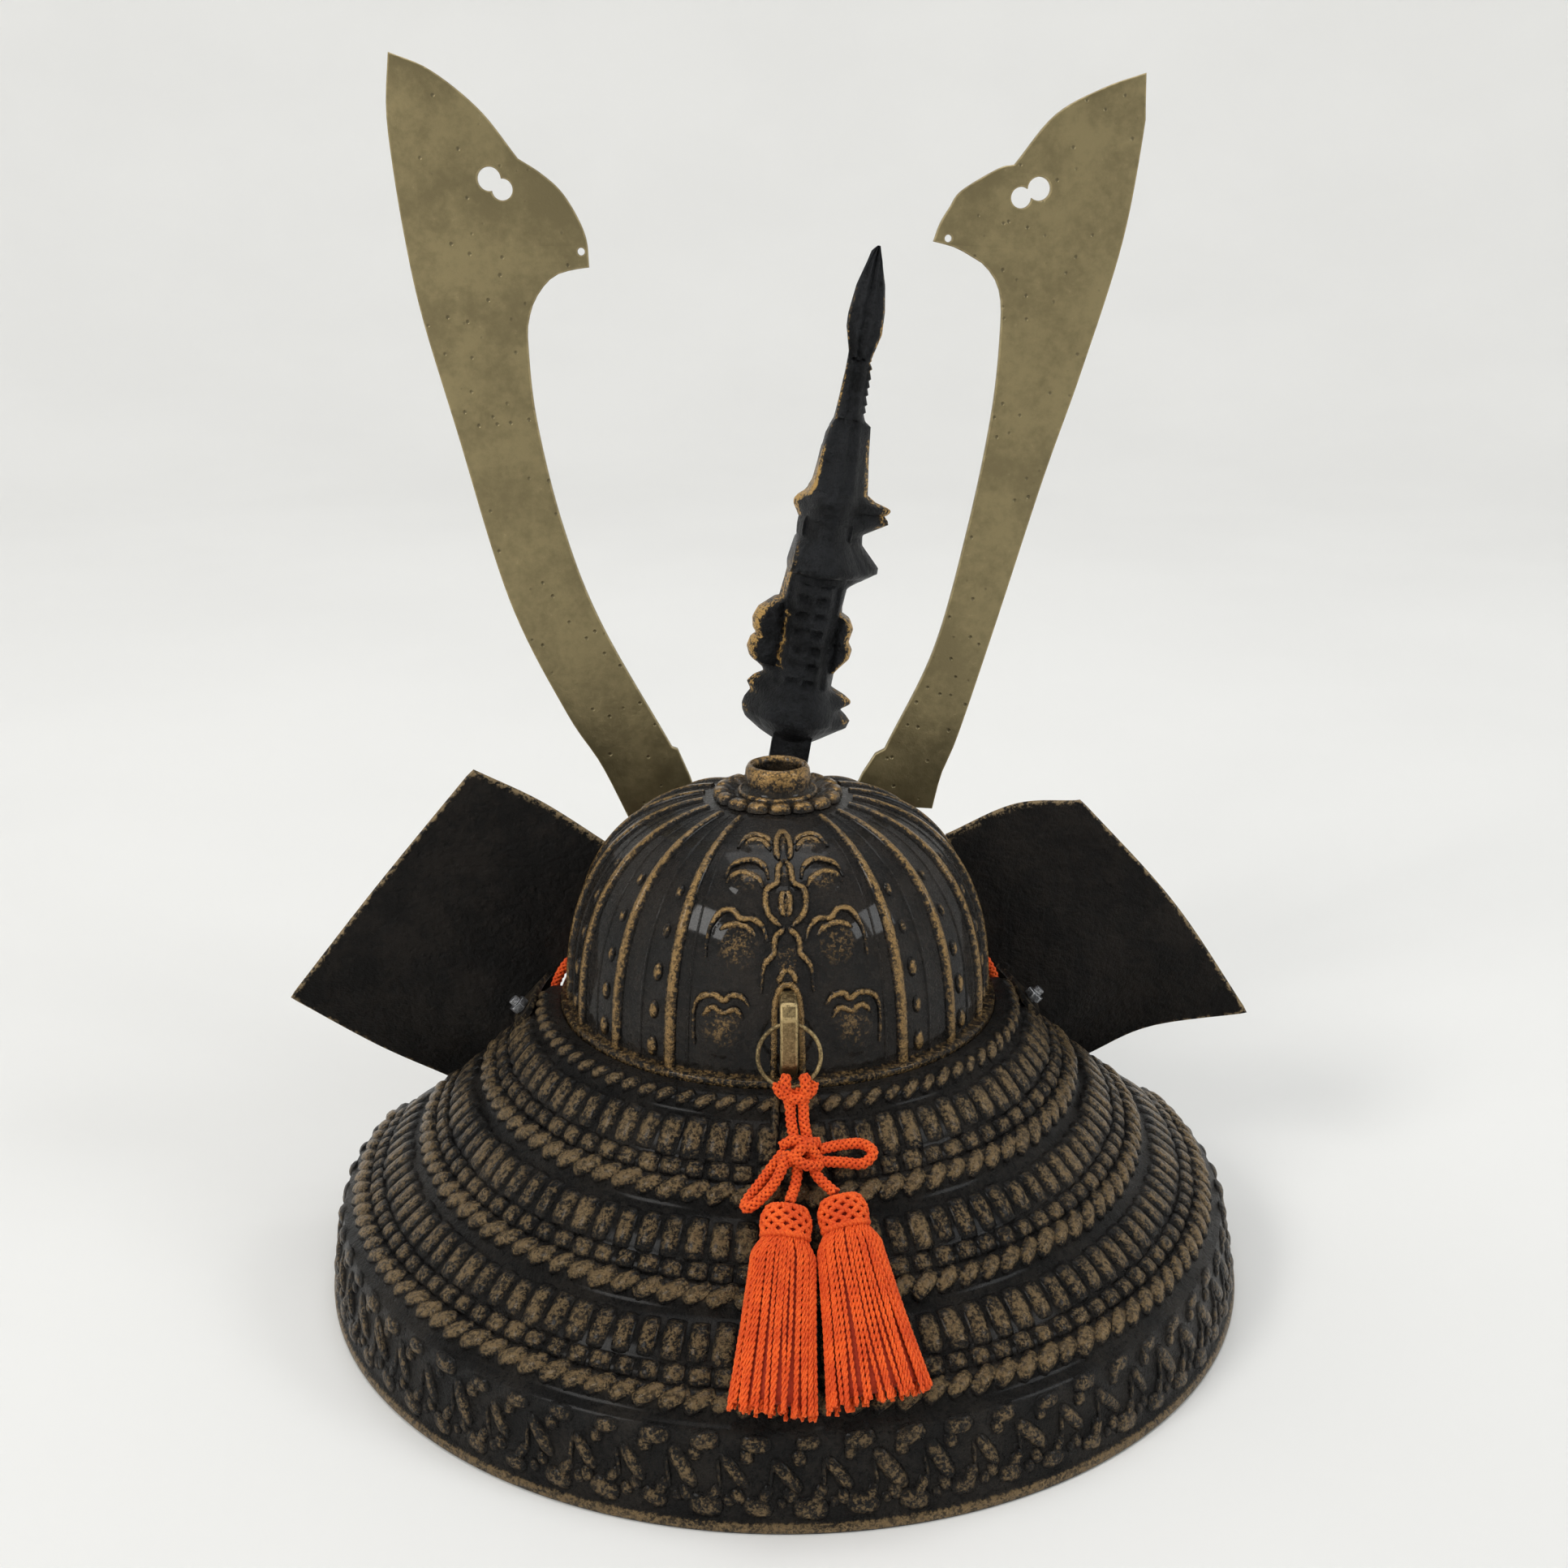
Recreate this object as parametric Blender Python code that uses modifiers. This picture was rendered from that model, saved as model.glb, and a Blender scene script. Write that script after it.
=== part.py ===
# Kabuto helmet: a ribbed bowl on a lamellar neck guard, with turned-back plates, horns, a dragon
# crest and a tied cord with two tassels. Metres, +Z up, the face towards -Y, resting on its rim.
import math

import bmesh
import bpy
from mathutils import Matrix, Vector

# Fits
GAP = 0.0003
BOLT_CLEARANCE = 0.0003

# Bowl
RIM_HEIGHT = 0.0903
BOWL_RADIUS = 0.0672
BOWL_RISE = 0.0690
BOWL_WALL = 0.0032
BOWL_SIDE_POWER = 2.9
BOWL_CROWN_POWER = 2.5
LIP_REACH = 0.0034
LIP_THICKNESS = 0.0030
TOP_HOLE_RADIUS = 0.0072
RIB_COUNT = 7
RIB_FIRST_DEG = 32.0
RIB_PITCH_DEG = 18.0
RIB_WIDTH = 0.0030
RIB_HEIGHT = 0.0013
RIB_TOP_SHARE = 0.35
RIB_END_GAP = 0.0016
PANEL_STEP_DEG = 14.0
BOWL_LEVELS = (0.14, 0.26, 0.38, 0.50, 0.61, 0.71, 0.80)
HOLLOW_STEPS = 32

# Collar at the top of the bowl
COLLAR_BASE_RADIUS = 0.0205
COLLAR_FOOT_RADIUS = 0.0110
COLLAR_TOP_RADIUS = 0.0096
COLLAR_RISE = 0.0098
COLLAR_WALL = 0.0022
COLLAR_PETALS = 16
COLLAR_PETAL_DEPTH = 0.0011

# Neck guard
GUARD_RADIUS = 0.1500
GUARD_WALL = 0.0032
GUARD_TOP_WALL = 0.0032
GUARD_SAG = 0.0030
BAND_HEIGHT = 0.0280
BAND_FLARE = 0.0070
BAND_LIP = 0.0012
BAND_GROOVE = 0.0014
TIER_COUNT = 3
TIER_LIFT = 0.0014
ROPE_LIFT = 0.0024
TOP_ROPE_WIDTH = 0.0060
GUARD_TOP_END_DEG = 6.0
GUARD_LOW_END_DEG = 22.0
GUARD_SHIFT = -0.0022
GUARD_STEPS = 30

# Peak
PEAK_FORWARD = 0.0390
PEAK_DROP = 0.0130
PEAK_WALL = 0.0026
PEAK_HALF_DEG = 60.0
PEAK_STEPS = 16

# Crest holder, horns and dragon
CREST_STAND_OFF = 0.0064
HOLDER_DEPTH = 0.0052
HOLDER_HALF_WIDTH = 0.0470
HOLDER_HEIGHT = 0.0310
HORN_THICKNESS = 0.0026
HORN_SPREAD = 0.1232
HORN_TOP = 0.3830
TANG_WIDTH = 0.0150
TANG_FOOT_OFFSET = 0.0190
TANG_ROOT_SHARE = 0.40
DRAGON_TOP = 0.3240
DRAGON_LEAN_DEG = 9.6
DRAGON_FOOT_OFFSET = 0.0076
DRAGON_FOOT_HEIGHT = 0.1500
DRAGON_TANG_WIDTH = 0.0140
DRAGON_TANG_DEPTH = 0.0030
DRAGON_SEGMENTS = 8
TUFT_PROUD = 0.0004
LOBE_SEGMENTS = 10
HORN_HOLE_SEGMENTS = 14

# Turned-back plates
PLATE_REACH = 0.1610
PLATE_TOP = 0.1590
PLATE_WALL = 0.0022
PLATE_FRONT = 0.0300
PLATE_ROOT_GAP = 0.0035
EAR_RADIUS = 0.0058
EAR_THICKNESS = 0.0018
EAR_REACH_DEG = 15.5
PLATE_STEPS = 7

# Bolts
BOLT_RADIUS = 0.0015
BOLT_STICK_OUT = 0.0085
BOLT_HEAD_RADIUS = 0.0028
BOLT_HEAD_HEIGHT = 0.0018
BOLT_TAIL = 0.0030
BOLT_SEGMENTS = 10
NUT_ACROSS = 0.0055
NUT_HEIGHT = 0.0024
BOLT_AZIMUTH_DEG = 1.0
BOLT_DOWN = 0.0105

# Lug and ring at the back
LUG_WIDTH = 0.0053
LUG_THICKNESS = 0.0018
LUG_HEIGHT = 0.0238
LUG_ABOVE_RIM = 0.0059
LUG_STAND_OFF = 0.0062
LUG_BENDS = (
    # short of the outside as a share of the stand-off, down as a share of the height,
    # the inside's down, and its shift inwards and down as shares of the thickness
    (0.35, 0.05, 0.05, 1.0, 1.0),
    (0.00, 0.22, 0.24, 1.0, 1.0),
    (0.00, 0.55, 0.55, 1.0, 0.0),
    (0.00, 0.85, 0.83, 1.0, 0.0),
    (0.35, 1.00, 1.00, 0.5, -1.0),
)
RING_RADIUS = 0.0091
RING_WIRE = 0.00065
RING_TILT_DEG = 18.0
RING_STEPS = 20
WIRE_STEPS = 6

# Cords and tassels
CORD_RADIUS = 0.00155
CORD_STEPS = 14
LOOP_STEPS = 18
SIDE_CORD_STEPS = 42
HITCH_SIZE = (3.9, 2.1, 2.9)  # half sizes over the cord's radius
HITCH_PLACE = (-1.2, 1.0, 0.15)  # from the ring's low point, over the cord's radius
HITCH_LEAN_DEG = 28.0
TASSEL_CAP_WIDTH = 0.0146
TASSEL_CAP_LENGTH = 0.0093
TASSEL_SKIRT_LENGTH = 0.0480
TASSEL_SKIRT_TOP = 0.0170
TASSEL_SKIRT_WIDTH = 0.0245
TASSEL_DEPTH = 0.0092
TASSEL_LOCKS = 12
TASSEL_RAG = 0.022
TASSEL_PROFILE = (
    # shares: down the cap, down the skirt, width of the cap, of the skirt's top and of its end,
    # depth, groove between the locks
    (0.00, 0.00, 0.60, 0.00, 0.00, 0.44, 0.00),
    (0.10, 0.00, 0.84, 0.00, 0.00, 0.72, 0.00),
    (0.45, 0.00, 1.00, 0.00, 0.00, 1.00, 0.00),
    (1.00, 0.00, 0.92, 0.00, 0.00, 0.94, 0.00),
    (1.00, 0.02, 0.00, 0.92, 0.00, 0.88, 0.06),
    (1.00, 0.10, 0.00, 1.06, 0.00, 1.00, 0.09),
    (1.00, 0.55, 0.00, 0.50, 0.50, 0.94, 0.12),
    (1.00, 1.00, 0.00, 0.00, 1.00, 0.80, 0.16),
)
TASSELS = (
    # name, down the slope, across, lean in degrees
    ("tassel_left", 0.0345, 0.0024, 6.5),
    ("tassel_right", 0.0327, -0.0125, -8.2),
)

HOLDER_OUTLINE = (
    # across and up, as shares of the half width and of the height
    (0.47, 0.00),
    (0.72, 0.25),
    (0.96, 0.70),
    (1.02, 0.95),
    (0.80, 1.00),
    (0.45, 0.82),
    (0.22, 0.95),
)

# Horn outline, as shares of the spread and of the height above the tang's root
HORN_ROOT_HEIGHT = 0.1310
HORN_OUTLINE = (
    # left across, left up, right across, right up, from the outer root round the tip
    (0.407, -0.021, 0.481, -0.012),
    (0.485, 0.062, 0.506, 0.040),
    (0.578, 0.137, 0.551, 0.097),
    (0.725, 0.297, 0.647, 0.253),
    (0.850, 0.532, 0.769, 0.459),
    (0.925, 0.677, 0.861, 0.600),
    (0.960, 0.779, 0.957, 0.767),
    (0.982, 0.878, 1.000, 0.909),
    (0.987, 0.937, 1.000, 0.944),
    (0.974, 1.000, 0.998, 0.978),
    (0.869, 0.979, 0.888, 0.960),
    (0.748, 0.932, 0.762, 0.927),
    (0.653, 0.873, 0.658, 0.866),
    (0.597, 0.856, 0.615, 0.861),
    (0.545, 0.834, 0.519, 0.834),
    (0.505, 0.804, 0.488, 0.813),
    (0.480, 0.773, 0.463, 0.793),
    (0.475, 0.738, 0.446, 0.770),
    (0.528, 0.734, 0.502, 0.763),
    (0.575, 0.725, 0.546, 0.752),
    (0.616, 0.702, 0.592, 0.737),
    (0.638, 0.676, 0.629, 0.706),
    (0.645, 0.640, 0.635, 0.653),
    (0.629, 0.539, 0.618, 0.546),
    (0.567, 0.397, 0.562, 0.393),
    (0.469, 0.262, 0.474, 0.222),
    (0.278, 0.085, 0.338, 0.078),
    (0.262, 0.082, 0.311, 0.071),
    (0.228, 0.042, 0.274, 0.042),
)
HORN_HOLES = (
    # left across, left up, right across, right up, radius as a share of the tang's width
    (0.730, 0.848, 0.726, 0.836, 0.250),
    (0.697, 0.835, 0.679, 0.825, 0.225),
    (0.495, 0.758, 0.486, 0.774, 0.080),
)

# Tier profile: share of the tier's pitch, share of the block lift, share of the rope lift
TIER_PROFILE = (
    (0.02, 0.10, 0.00),
    (0.07, 1.00, 0.00),
    (0.58, 1.00, 0.00),
    (0.63, 0.40, 0.00),
    (0.70, 0.00, 1.00),
    (0.80, 0.00, 1.00),
    (0.88, 0.10, 0.00),
)

# Plate edges as shares of the way from the bowl's side to the reach, of the top height and of
# the front plane
PLATE_EDGES = (
    # corner, left across, left up, right across, right up, depth
    ("low middle", 0.734, 0.400, 0.674, 0.405, 0.85),
    ("outer low", 1.000, 0.535, 1.000, 0.458, 0.55),
    ("outer middle", 0.682, 0.765, 0.717, 0.700, 0.72),
    ("outer top", 0.339, 1.000, 0.382, 0.915, 0.95),
    ("top middle", 0.107, 0.925, 0.150, 0.905, 1.00),
    ("inner top", -0.124, 0.830, -0.095, 0.840, 1.00),
    ("inner middle", -0.013, 0.648, -0.013, 0.648, 1.00),
    ("inner low", 0.049, 0.553, 0.049, 0.553, 0.90),
)
PLATE_LOW_ROOT = {"left": 0.66, "right": 0.58}
PLATE_MIDDLE_ROOT = 0.46
PLATE_WAIST_ROOT = 0.30

# Dragon, in shares of the figure's height: rows along its leaning axis
DRAGON_BODY = (
    # up, width, depth
    (0.026, 0.090, 0.060),
    (0.057, 0.150, 0.110),
    (0.109, 0.152, 0.140),
    (0.160, 0.141, 0.150),
    (0.244, 0.138, 0.155),
    (0.328, 0.134, 0.155),
    (0.426, 0.132, 0.145),
    (0.475, 0.126, 0.140),
    (0.539, 0.109, 0.120),
    (0.603, 0.096, 0.100),
    (0.657, 0.078, 0.070),
    (0.674, 0.061, 0.052),
    (0.721, 0.056, 0.040),
    (0.783, 0.046, 0.030),
    (0.798, 0.051, 0.030),
    (0.841, 0.071, 0.032),
    (0.879, 0.072, 0.032),
    (0.925, 0.056, 0.028),
    (0.962, 0.033, 0.020),
    (0.998, 0.010, 0.010),
)
DRAGON_FLARES = (
    # up, left reach, right reach, rise to the body, drop to the body, depth
    (0.497, 0.073, 0.122, 0.085, 0.060, 0.190),
    (0.379, 0.076, 0.117, 0.095, 0.045, 0.205),
    (0.128, 0.113, 0.107, 0.045, 0.030, 0.180),
    (0.066, 0.113, 0.115, 0.045, 0.048, 0.190),
)
DRAGON_LOBES = (
    # up, across, radius
    (0.252, 0.089, 0.029),
    (0.194, 0.091, 0.032),
    (0.256, -0.063, 0.028),
    (0.216, -0.061, 0.032),
)
DRAGON_HEAD = (
    # forward, width, height, drop: shares of the figure's height
    (0.040, 0.105, 0.130, 0.000),
    (0.090, 0.115, 0.120, 0.004),
    (0.130, 0.100, 0.090, 0.012),
    (0.165, 0.080, 0.062, 0.020),
    (0.185, 0.050, 0.040, 0.024),
)
DRAGON_HEAD_UP = 0.450

# Cord routes down the guard's slope, in metres: down, across, lift
LEFT_CORD = (
    (0.0048, 0.0000, 0.0052),
    (0.0095, 0.0000, 0.0049),
    (0.0145, -0.0006, 0.0049),
    (0.0205, -0.0012, 0.0052),
    (0.0265, -0.0006, 0.0050),
    (0.0308, 0.0008, 0.0058),
    (0.0334, 0.0018, 0.0070),
)
RIGHT_CORD = (
    (0.0048, -0.0036, 0.0052),
    (0.0095, -0.0037, 0.0049),
    (0.0145, -0.0043, 0.0049),
    (0.0205, -0.0049, 0.0052),
    (0.0255, -0.0066, 0.0050),
    (0.0292, -0.0096, 0.0058),
    (0.0315, -0.0115, 0.0070),
)
LEFT_LOOP = (
    (0.0190, 0.0024, 0.0050),
    (0.0235, 0.0052, 0.0048),
    (0.0285, 0.0090, 0.0048),
    (0.0330, 0.0128, 0.0048),
    (0.0350, 0.0140, 0.0066),
    (0.0332, 0.0118, 0.0084),
    (0.0285, 0.0074, 0.0084),
    (0.0235, 0.0042, 0.0084),
    (0.0205, 0.0028, 0.0084),
)
RIGHT_LOOP = (
    (0.0180, -0.0076, 0.0050),
    (0.0172, -0.0140, 0.0049),
    (0.0176, -0.0200, 0.0049),
    (0.0205, -0.0232, 0.0049),
    (0.0232, -0.0200, 0.0049),
    (0.0222, -0.0140, 0.0049),
    (0.0214, -0.0078, 0.0050),
)
SIDE_CORD_DROP = (
    # azimuth from the back in degrees, out past the lip, up from the lip's underside
    (101.5, 0.0029, -0.0133),
    (101.0, 0.0049, -0.0078),
    (101.5, 0.0046, -0.0023),
    (103.5, 0.0024, 0.0031),
    (107.0, 0.0004, 0.0052),
)


def material(name, colour, roughness, metallic):
    made = bpy.data.materials.new(name)
    made.use_nodes = True
    shader = made.node_tree.nodes["Principled BSDF"]
    shader.inputs["Base Color"].default_value = (*colour, 1.0)
    shader.inputs["Roughness"].default_value = roughness
    shader.inputs["Metallic"].default_value = metallic
    made.diffuse_color = (*colour, 1.0)
    return made


def new_collection(name):
    made = bpy.data.collections.new(name)
    bpy.context.scene.collection.children.link(made)
    return made


def add_mesh(name, shape, finish, home):
    bmesh.ops.recalc_face_normals(shape, faces=shape.faces)
    mesh = bpy.data.meshes.new(name)
    shape.to_mesh(mesh)
    shape.free()
    mesh.shade_smooth()
    mesh.set_sharp_from_angle(angle=math.radians(35))
    made = bpy.data.objects.new(name, mesh)
    home.objects.link(made)
    if finish:
        mesh.materials.append(finish)
    return made


def add_cutter(name, shape, home):
    made = add_mesh(name, shape, None, home)
    made.hide_render = True
    made.display_type = "WIRE"
    return made


def apply_boolean(target, tool, operation, use_self=False):
    step = target.modifiers.new(operation.title(), "BOOLEAN")
    step.operation = operation
    step.object = tool
    step.solver = "EXACT"
    step.use_self = use_self
    bpy.context.view_layer.update()
    graph = bpy.context.evaluated_depsgraph_get()
    mesh = bpy.data.meshes.new_from_object(target.evaluated_get(graph))
    target.modifiers.clear()
    old = target.data
    target.data = mesh
    bpy.data.meshes.remove(old)
    mesh.name = target.name
    bpy.data.objects.remove(tool, do_unlink=True)


def loft(sections, closed=False):
    """A body through rings of equal count, capped at its ends unless it closes on itself."""
    shape = bmesh.new()
    rings = [[shape.verts.new(point) for point in section] for section in sections]
    count = len(rings[0])
    pairs = list(zip(rings, rings[1:]))
    if closed:
        pairs.append((rings[-1], rings[0]))
    for first, second in pairs:
        for i in range(count):
            j = (i + 1) % count
            shape.faces.new((first[i], first[j], second[j], second[i]))
    if not closed:
        shape.faces.new(rings[0][::-1])
        shape.faces.new(rings[-1])
    return shape


def smooth_route(points, count):
    """Points spaced along a smooth curve through the given ones."""
    knots = [Vector(p) for p in points]
    knots = [2 * knots[0] - knots[1]] + knots + [2 * knots[-1] - knots[-2]]
    dense = []
    for i in range(1, len(knots) - 2):
        a, b, c, d = knots[i - 1 : i + 3]
        for k in range(12):
            t = k / 12
            dense.append(
                0.5 * (2 * b + (c - a) * t + (2 * a - 5 * b + 4 * c - d) * t**2
                       + (3 * b - a - 3 * c + d) * t**3)
            )
    dense.append(knots[-2])
    lengths = [0.0]
    for p, q in zip(dense, dense[1:]):
        lengths.append(lengths[-1] + (q - p).length)
    route = []
    for k in range(count):
        want = lengths[-1] * k / (count - 1)
        i = min(max(n for n, reach in enumerate(lengths) if reach <= want), len(dense) - 2)
        step = lengths[i + 1] - lengths[i]
        route.append(dense[i].lerp(dense[i + 1], (want - lengths[i]) / step))
    return route


def add_tube(name, route, radius, finish, home):
    curve = bpy.data.curves.new(name, "CURVE")
    curve.dimensions = "3D"
    curve.bevel_depth = radius
    curve.bevel_resolution = 2
    curve.use_fill_caps = True
    line = curve.splines.new("POLY")
    line.points.add(len(route) - 1)
    for point, place in zip(line.points, route):
        point.co = (*place, 1.0)
    curve.materials.append(finish)
    made = bpy.data.objects.new(name, curve)
    home.objects.link(made)
    return made


def around(radius, azimuth, height):
    """A point at an azimuth in degrees, 0 at the back and positive towards +X."""
    turn = math.radians(azimuth)
    return Vector((radius * math.sin(turn), radius * math.cos(turn), height))


def on_guard(radius, azimuth, height):
    """A point round the guard, whose foot sits to one side of the bowl's axis."""
    down = min(max((RIM_HEIGHT - height) / RIM_HEIGHT, 0), 1)
    return around(radius, azimuth, height) + Vector((GUARD_SHIFT * down, 0, 0))


# Sizes that follow from the driving ones
LIP_RADIUS = BOWL_RADIUS + LIP_REACH
CREST_PLANE = LIP_RADIUS + CREST_STAND_OFF
PEAK_REACH = CREST_PLANE + PEAK_FORWARD
LEDGE_RADIUS = BOWL_RADIUS - 0.2 * BOWL_WALL
LEDGE_HEIGHT = RIM_HEIGHT - GAP
LEDGE_THICKNESS = 0.75 * GUARD_WALL
GUARD_TOP_RADIUS = LIP_RADIUS + GAP + GUARD_TOP_WALL
GUARD_TOP_HEIGHT = RIM_HEIGHT + 0.3 * LIP_THICKNESS
BAND_TOP_RADIUS = GUARD_RADIUS - BAND_FLARE
SLOPE_RUN = BAND_TOP_RADIUS - GUARD_TOP_RADIUS
SLOPE_FALL = GUARD_TOP_HEIGHT - BAND_HEIGHT
SLOPE_LENGTH = math.hypot(SLOPE_RUN, SLOPE_FALL)
TANG_FOOT_HEIGHT = RIM_HEIGHT + 0.30 * HOLDER_HEIGHT
LUG_BOTTOM = RIM_HEIGHT + LUG_ABOVE_RIM
LUG_TOP = LUG_BOTTOM + LUG_HEIGHT
RIB_AZIMUTHS = [RIB_FIRST_DEG + RIB_PITCH_DEG * k for k in range(RIB_COUNT)]


def dome_radius(turn):
    return BOWL_RADIUS * math.cos(turn) ** (2 / BOWL_SIDE_POWER)


def dome_height(radius):
    share = max(0.0, 1 - (radius / BOWL_RADIUS) ** BOWL_SIDE_POWER)
    return RIM_HEIGHT + BOWL_RISE * share ** (1 / BOWL_CROWN_POWER)


def dome_normal(radius):
    step = 1e-5
    fall = (dome_height(radius + step) - dome_height(radius - step)) / (2 * step)
    size = math.hypot(1, fall)
    return -fall / size, 1 / size


def slope_point(down, lift):
    """Radius and height on the guard's slope, down as a share of its length."""
    sag = GUARD_SAG * math.sin(math.pi * min(max(down, 0), 1))
    out = lift - sag
    radius = GUARD_TOP_RADIUS + SLOPE_RUN * down + out * SLOPE_FALL / SLOPE_LENGTH
    height = GUARD_TOP_HEIGHT - SLOPE_FALL * down + out * SLOPE_RUN / SLOPE_LENGTH
    return radius, height


def on_slope(down, across, lift):
    """A place on the guard's back: metres down the slope, metres across, and the lift."""
    radius, height = slope_point(down / SLOPE_LENGTH, lift)
    return on_guard(radius, math.degrees(across / radius), height)


def end_azimuth(height):
    down = min(max((GUARD_TOP_HEIGHT - height) / GUARD_TOP_HEIGHT, 0), 1)
    return 90 + GUARD_TOP_END_DEG + (GUARD_LOW_END_DEG - GUARD_TOP_END_DEG) * down


def bowl_ring(radius, height, rib_share):
    """One level of the bowl's outside, with the ribs raised along the dome's normal."""
    out, up = dome_normal(min(radius, 0.999 * BOWL_RADIUS))
    taper = RIB_TOP_SHARE + (1 - RIB_TOP_SHARE) * radius / BOWL_RADIUS
    half = math.degrees(0.5 * RIB_WIDTH * taper / radius)
    lift = RIB_HEIGHT * taper * rib_share
    columns = []
    ribs = sorted(RIB_AZIMUTHS + [360 - a for a in RIB_AZIMUTHS])
    for azimuth, following in zip(ribs, ribs[1:] + [ribs[0] + 360]):
        columns += [(azimuth - half, 0), (azimuth - 0.45 * half, lift),
                    (azimuth + 0.45 * half, lift), (azimuth + half, 0)]
        span = following - azimuth
        plain = max(1, round(span / PANEL_STEP_DEG) - 1) if span > 1.5 * RIB_PITCH_DEG else 1
        columns += [(azimuth + span * (k + 1) / (plain + 1), 0) for k in range(plain)]
    return [around(radius + out * raised, azimuth, height + up * raised)
            for azimuth, raised in columns]


def make_bowl(finish, home, cutters):
    lip_top = RIM_HEIGHT + LIP_THICKNESS
    sections = [
        bowl_ring(LIP_RADIUS, RIM_HEIGHT, 0),
        bowl_ring(LIP_RADIUS, lip_top, 0),
        bowl_ring(dome_radius_at(lip_top), lip_top, 1),
    ]
    for share in BOWL_LEVELS:
        radius = dome_radius(share * math.pi / 2)
        sections.append(bowl_ring(radius, dome_height(radius), 1))
    for beyond, rib_share in ((RIB_END_GAP, 1), (RIB_END_GAP / 3, 0)):
        radius = COLLAR_BASE_RADIUS + beyond
        sections.append(bowl_ring(radius, dome_height(radius), rib_share))
    inner = 0.6 * TOP_HOLE_RADIUS
    sections.append(bowl_ring(inner, dome_height(inner), 0))
    bowl = add_mesh("bowl", loft(sections), finish, home)

    # The hollow, turned from its profile
    high = dome_height(0) + BOWL_WALL
    profile = [(0, high), (TOP_HOLE_RADIUS, high)]
    scale = 1 - BOWL_WALL / BOWL_RADIUS
    for k in range(9):
        turn = math.radians(83 - 83 * k / 8)
        radius = max(dome_radius(turn) * scale, TOP_HOLE_RADIUS)
        height = dome_height(radius / scale) - BOWL_WALL
        profile.append((radius, max(height, RIM_HEIGHT)))
    profile += [(BOWL_RADIUS * scale, RIM_HEIGHT - BOWL_WALL), (0, RIM_HEIGHT - BOWL_WALL)]
    hollow = bmesh.new()
    spots = [hollow.verts.new((r, 0, z)) for r, z in profile]
    edges = [hollow.edges.new(pair) for pair in zip(spots, spots[1:])]
    bmesh.ops.spin(hollow, geom=spots + edges, axis=(0, 0, 1), cent=(0, 0, 0),
                   angle=math.tau, steps=HOLLOW_STEPS, use_merge=True)
    bmesh.ops.remove_doubles(hollow, verts=hollow.verts, dist=1e-6)
    apply_boolean(bowl, add_cutter("bowl hollow", hollow, cutters), "DIFFERENCE")
    return bowl


def make_collar(finish, home):
    inner = COLLAR_TOP_RADIUS - COLLAR_WALL
    crown = dome_height(0)
    sections = []
    steps = 2 * COLLAR_PETALS
    for k in range(steps):
        azimuth = 360 * k / steps
        wave = abs(math.cos(math.radians(azimuth) * COLLAR_PETALS / 2))
        base = COLLAR_BASE_RADIUS - COLLAR_PETAL_DEPTH * (1 - wave)
        middle = 0.5 * (base + COLLAR_FOOT_RADIUS)
        ridge = (0.6 + 0.4 * wave) * 0.28 * COLLAR_RISE
        profile = (
            (inner, crown + GAP),
            (base, dome_height(base) + GAP),
            (base, dome_height(base) + GAP + 0.5 * COLLAR_PETAL_DEPTH),
            (middle, dome_height(middle) + GAP + ridge),
            (COLLAR_FOOT_RADIUS, crown + 0.22 * COLLAR_RISE),
            (COLLAR_TOP_RADIUS, crown + COLLAR_RISE),
            (inner, crown + COLLAR_RISE),
        )
        sections.append([around(r, azimuth, z) for r, z in profile])
    return add_mesh("tehen_ring", loft(sections, closed=True), finish, home)


def guard_profile():
    """The guard's closed section: outside top to bottom, foot, then inside bottom to top."""
    rope = TOP_ROPE_WIDTH / SLOPE_LENGTH
    points = [(LIP_RADIUS + GAP, GUARD_TOP_HEIGHT), (GUARD_TOP_RADIUS, GUARD_TOP_HEIGHT)]
    points += [slope_point(rope * 0.3, TIER_LIFT), slope_point(rope * 0.8, TIER_LIFT),
               slope_point(rope * 1.05, 0)]
    first = 1.25 * rope
    pitch = (1 - first) / TIER_COUNT
    for tier in range(TIER_COUNT):
        for share, block, twist in TIER_PROFILE:
            down = first + pitch * (tier + share)
            points.append(slope_point(down, block * TIER_LIFT + twist * ROPE_LIFT))
    points += [
        (BAND_TOP_RADIUS, BAND_HEIGHT),
        (BAND_TOP_RADIUS + BAND_GROOVE, BAND_HEIGHT - 0.5 * BAND_GROOVE),
        (GUARD_RADIUS - BAND_LIP, 3 * BAND_LIP),
        (GUARD_RADIUS, 2 * BAND_LIP),
        (GUARD_RADIUS, 0),
        (GUARD_RADIUS - BAND_LIP - GUARD_WALL, 0),
        (BAND_TOP_RADIUS - GUARD_WALL, BAND_HEIGHT - 0.6 * GUARD_WALL),
    ]
    points += [slope_point(down, -GUARD_WALL) for down in (0.75, 0.5, 0.25, 0.12)]
    points += [(LEDGE_RADIUS, LEDGE_HEIGHT - LEDGE_THICKNESS), (LEDGE_RADIUS, LEDGE_HEIGHT),
               (LIP_RADIUS + GAP, LEDGE_HEIGHT)]
    return points


def make_guard(finish, home):
    profile = guard_profile()
    sections = []
    for k in range(GUARD_STEPS + 1):
        share = 2 * k / GUARD_STEPS - 1
        sections.append([on_guard(r, share * end_azimuth(z), z) for r, z in profile])
    return add_mesh("neck_guard", loft(sections), finish, home)


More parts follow.
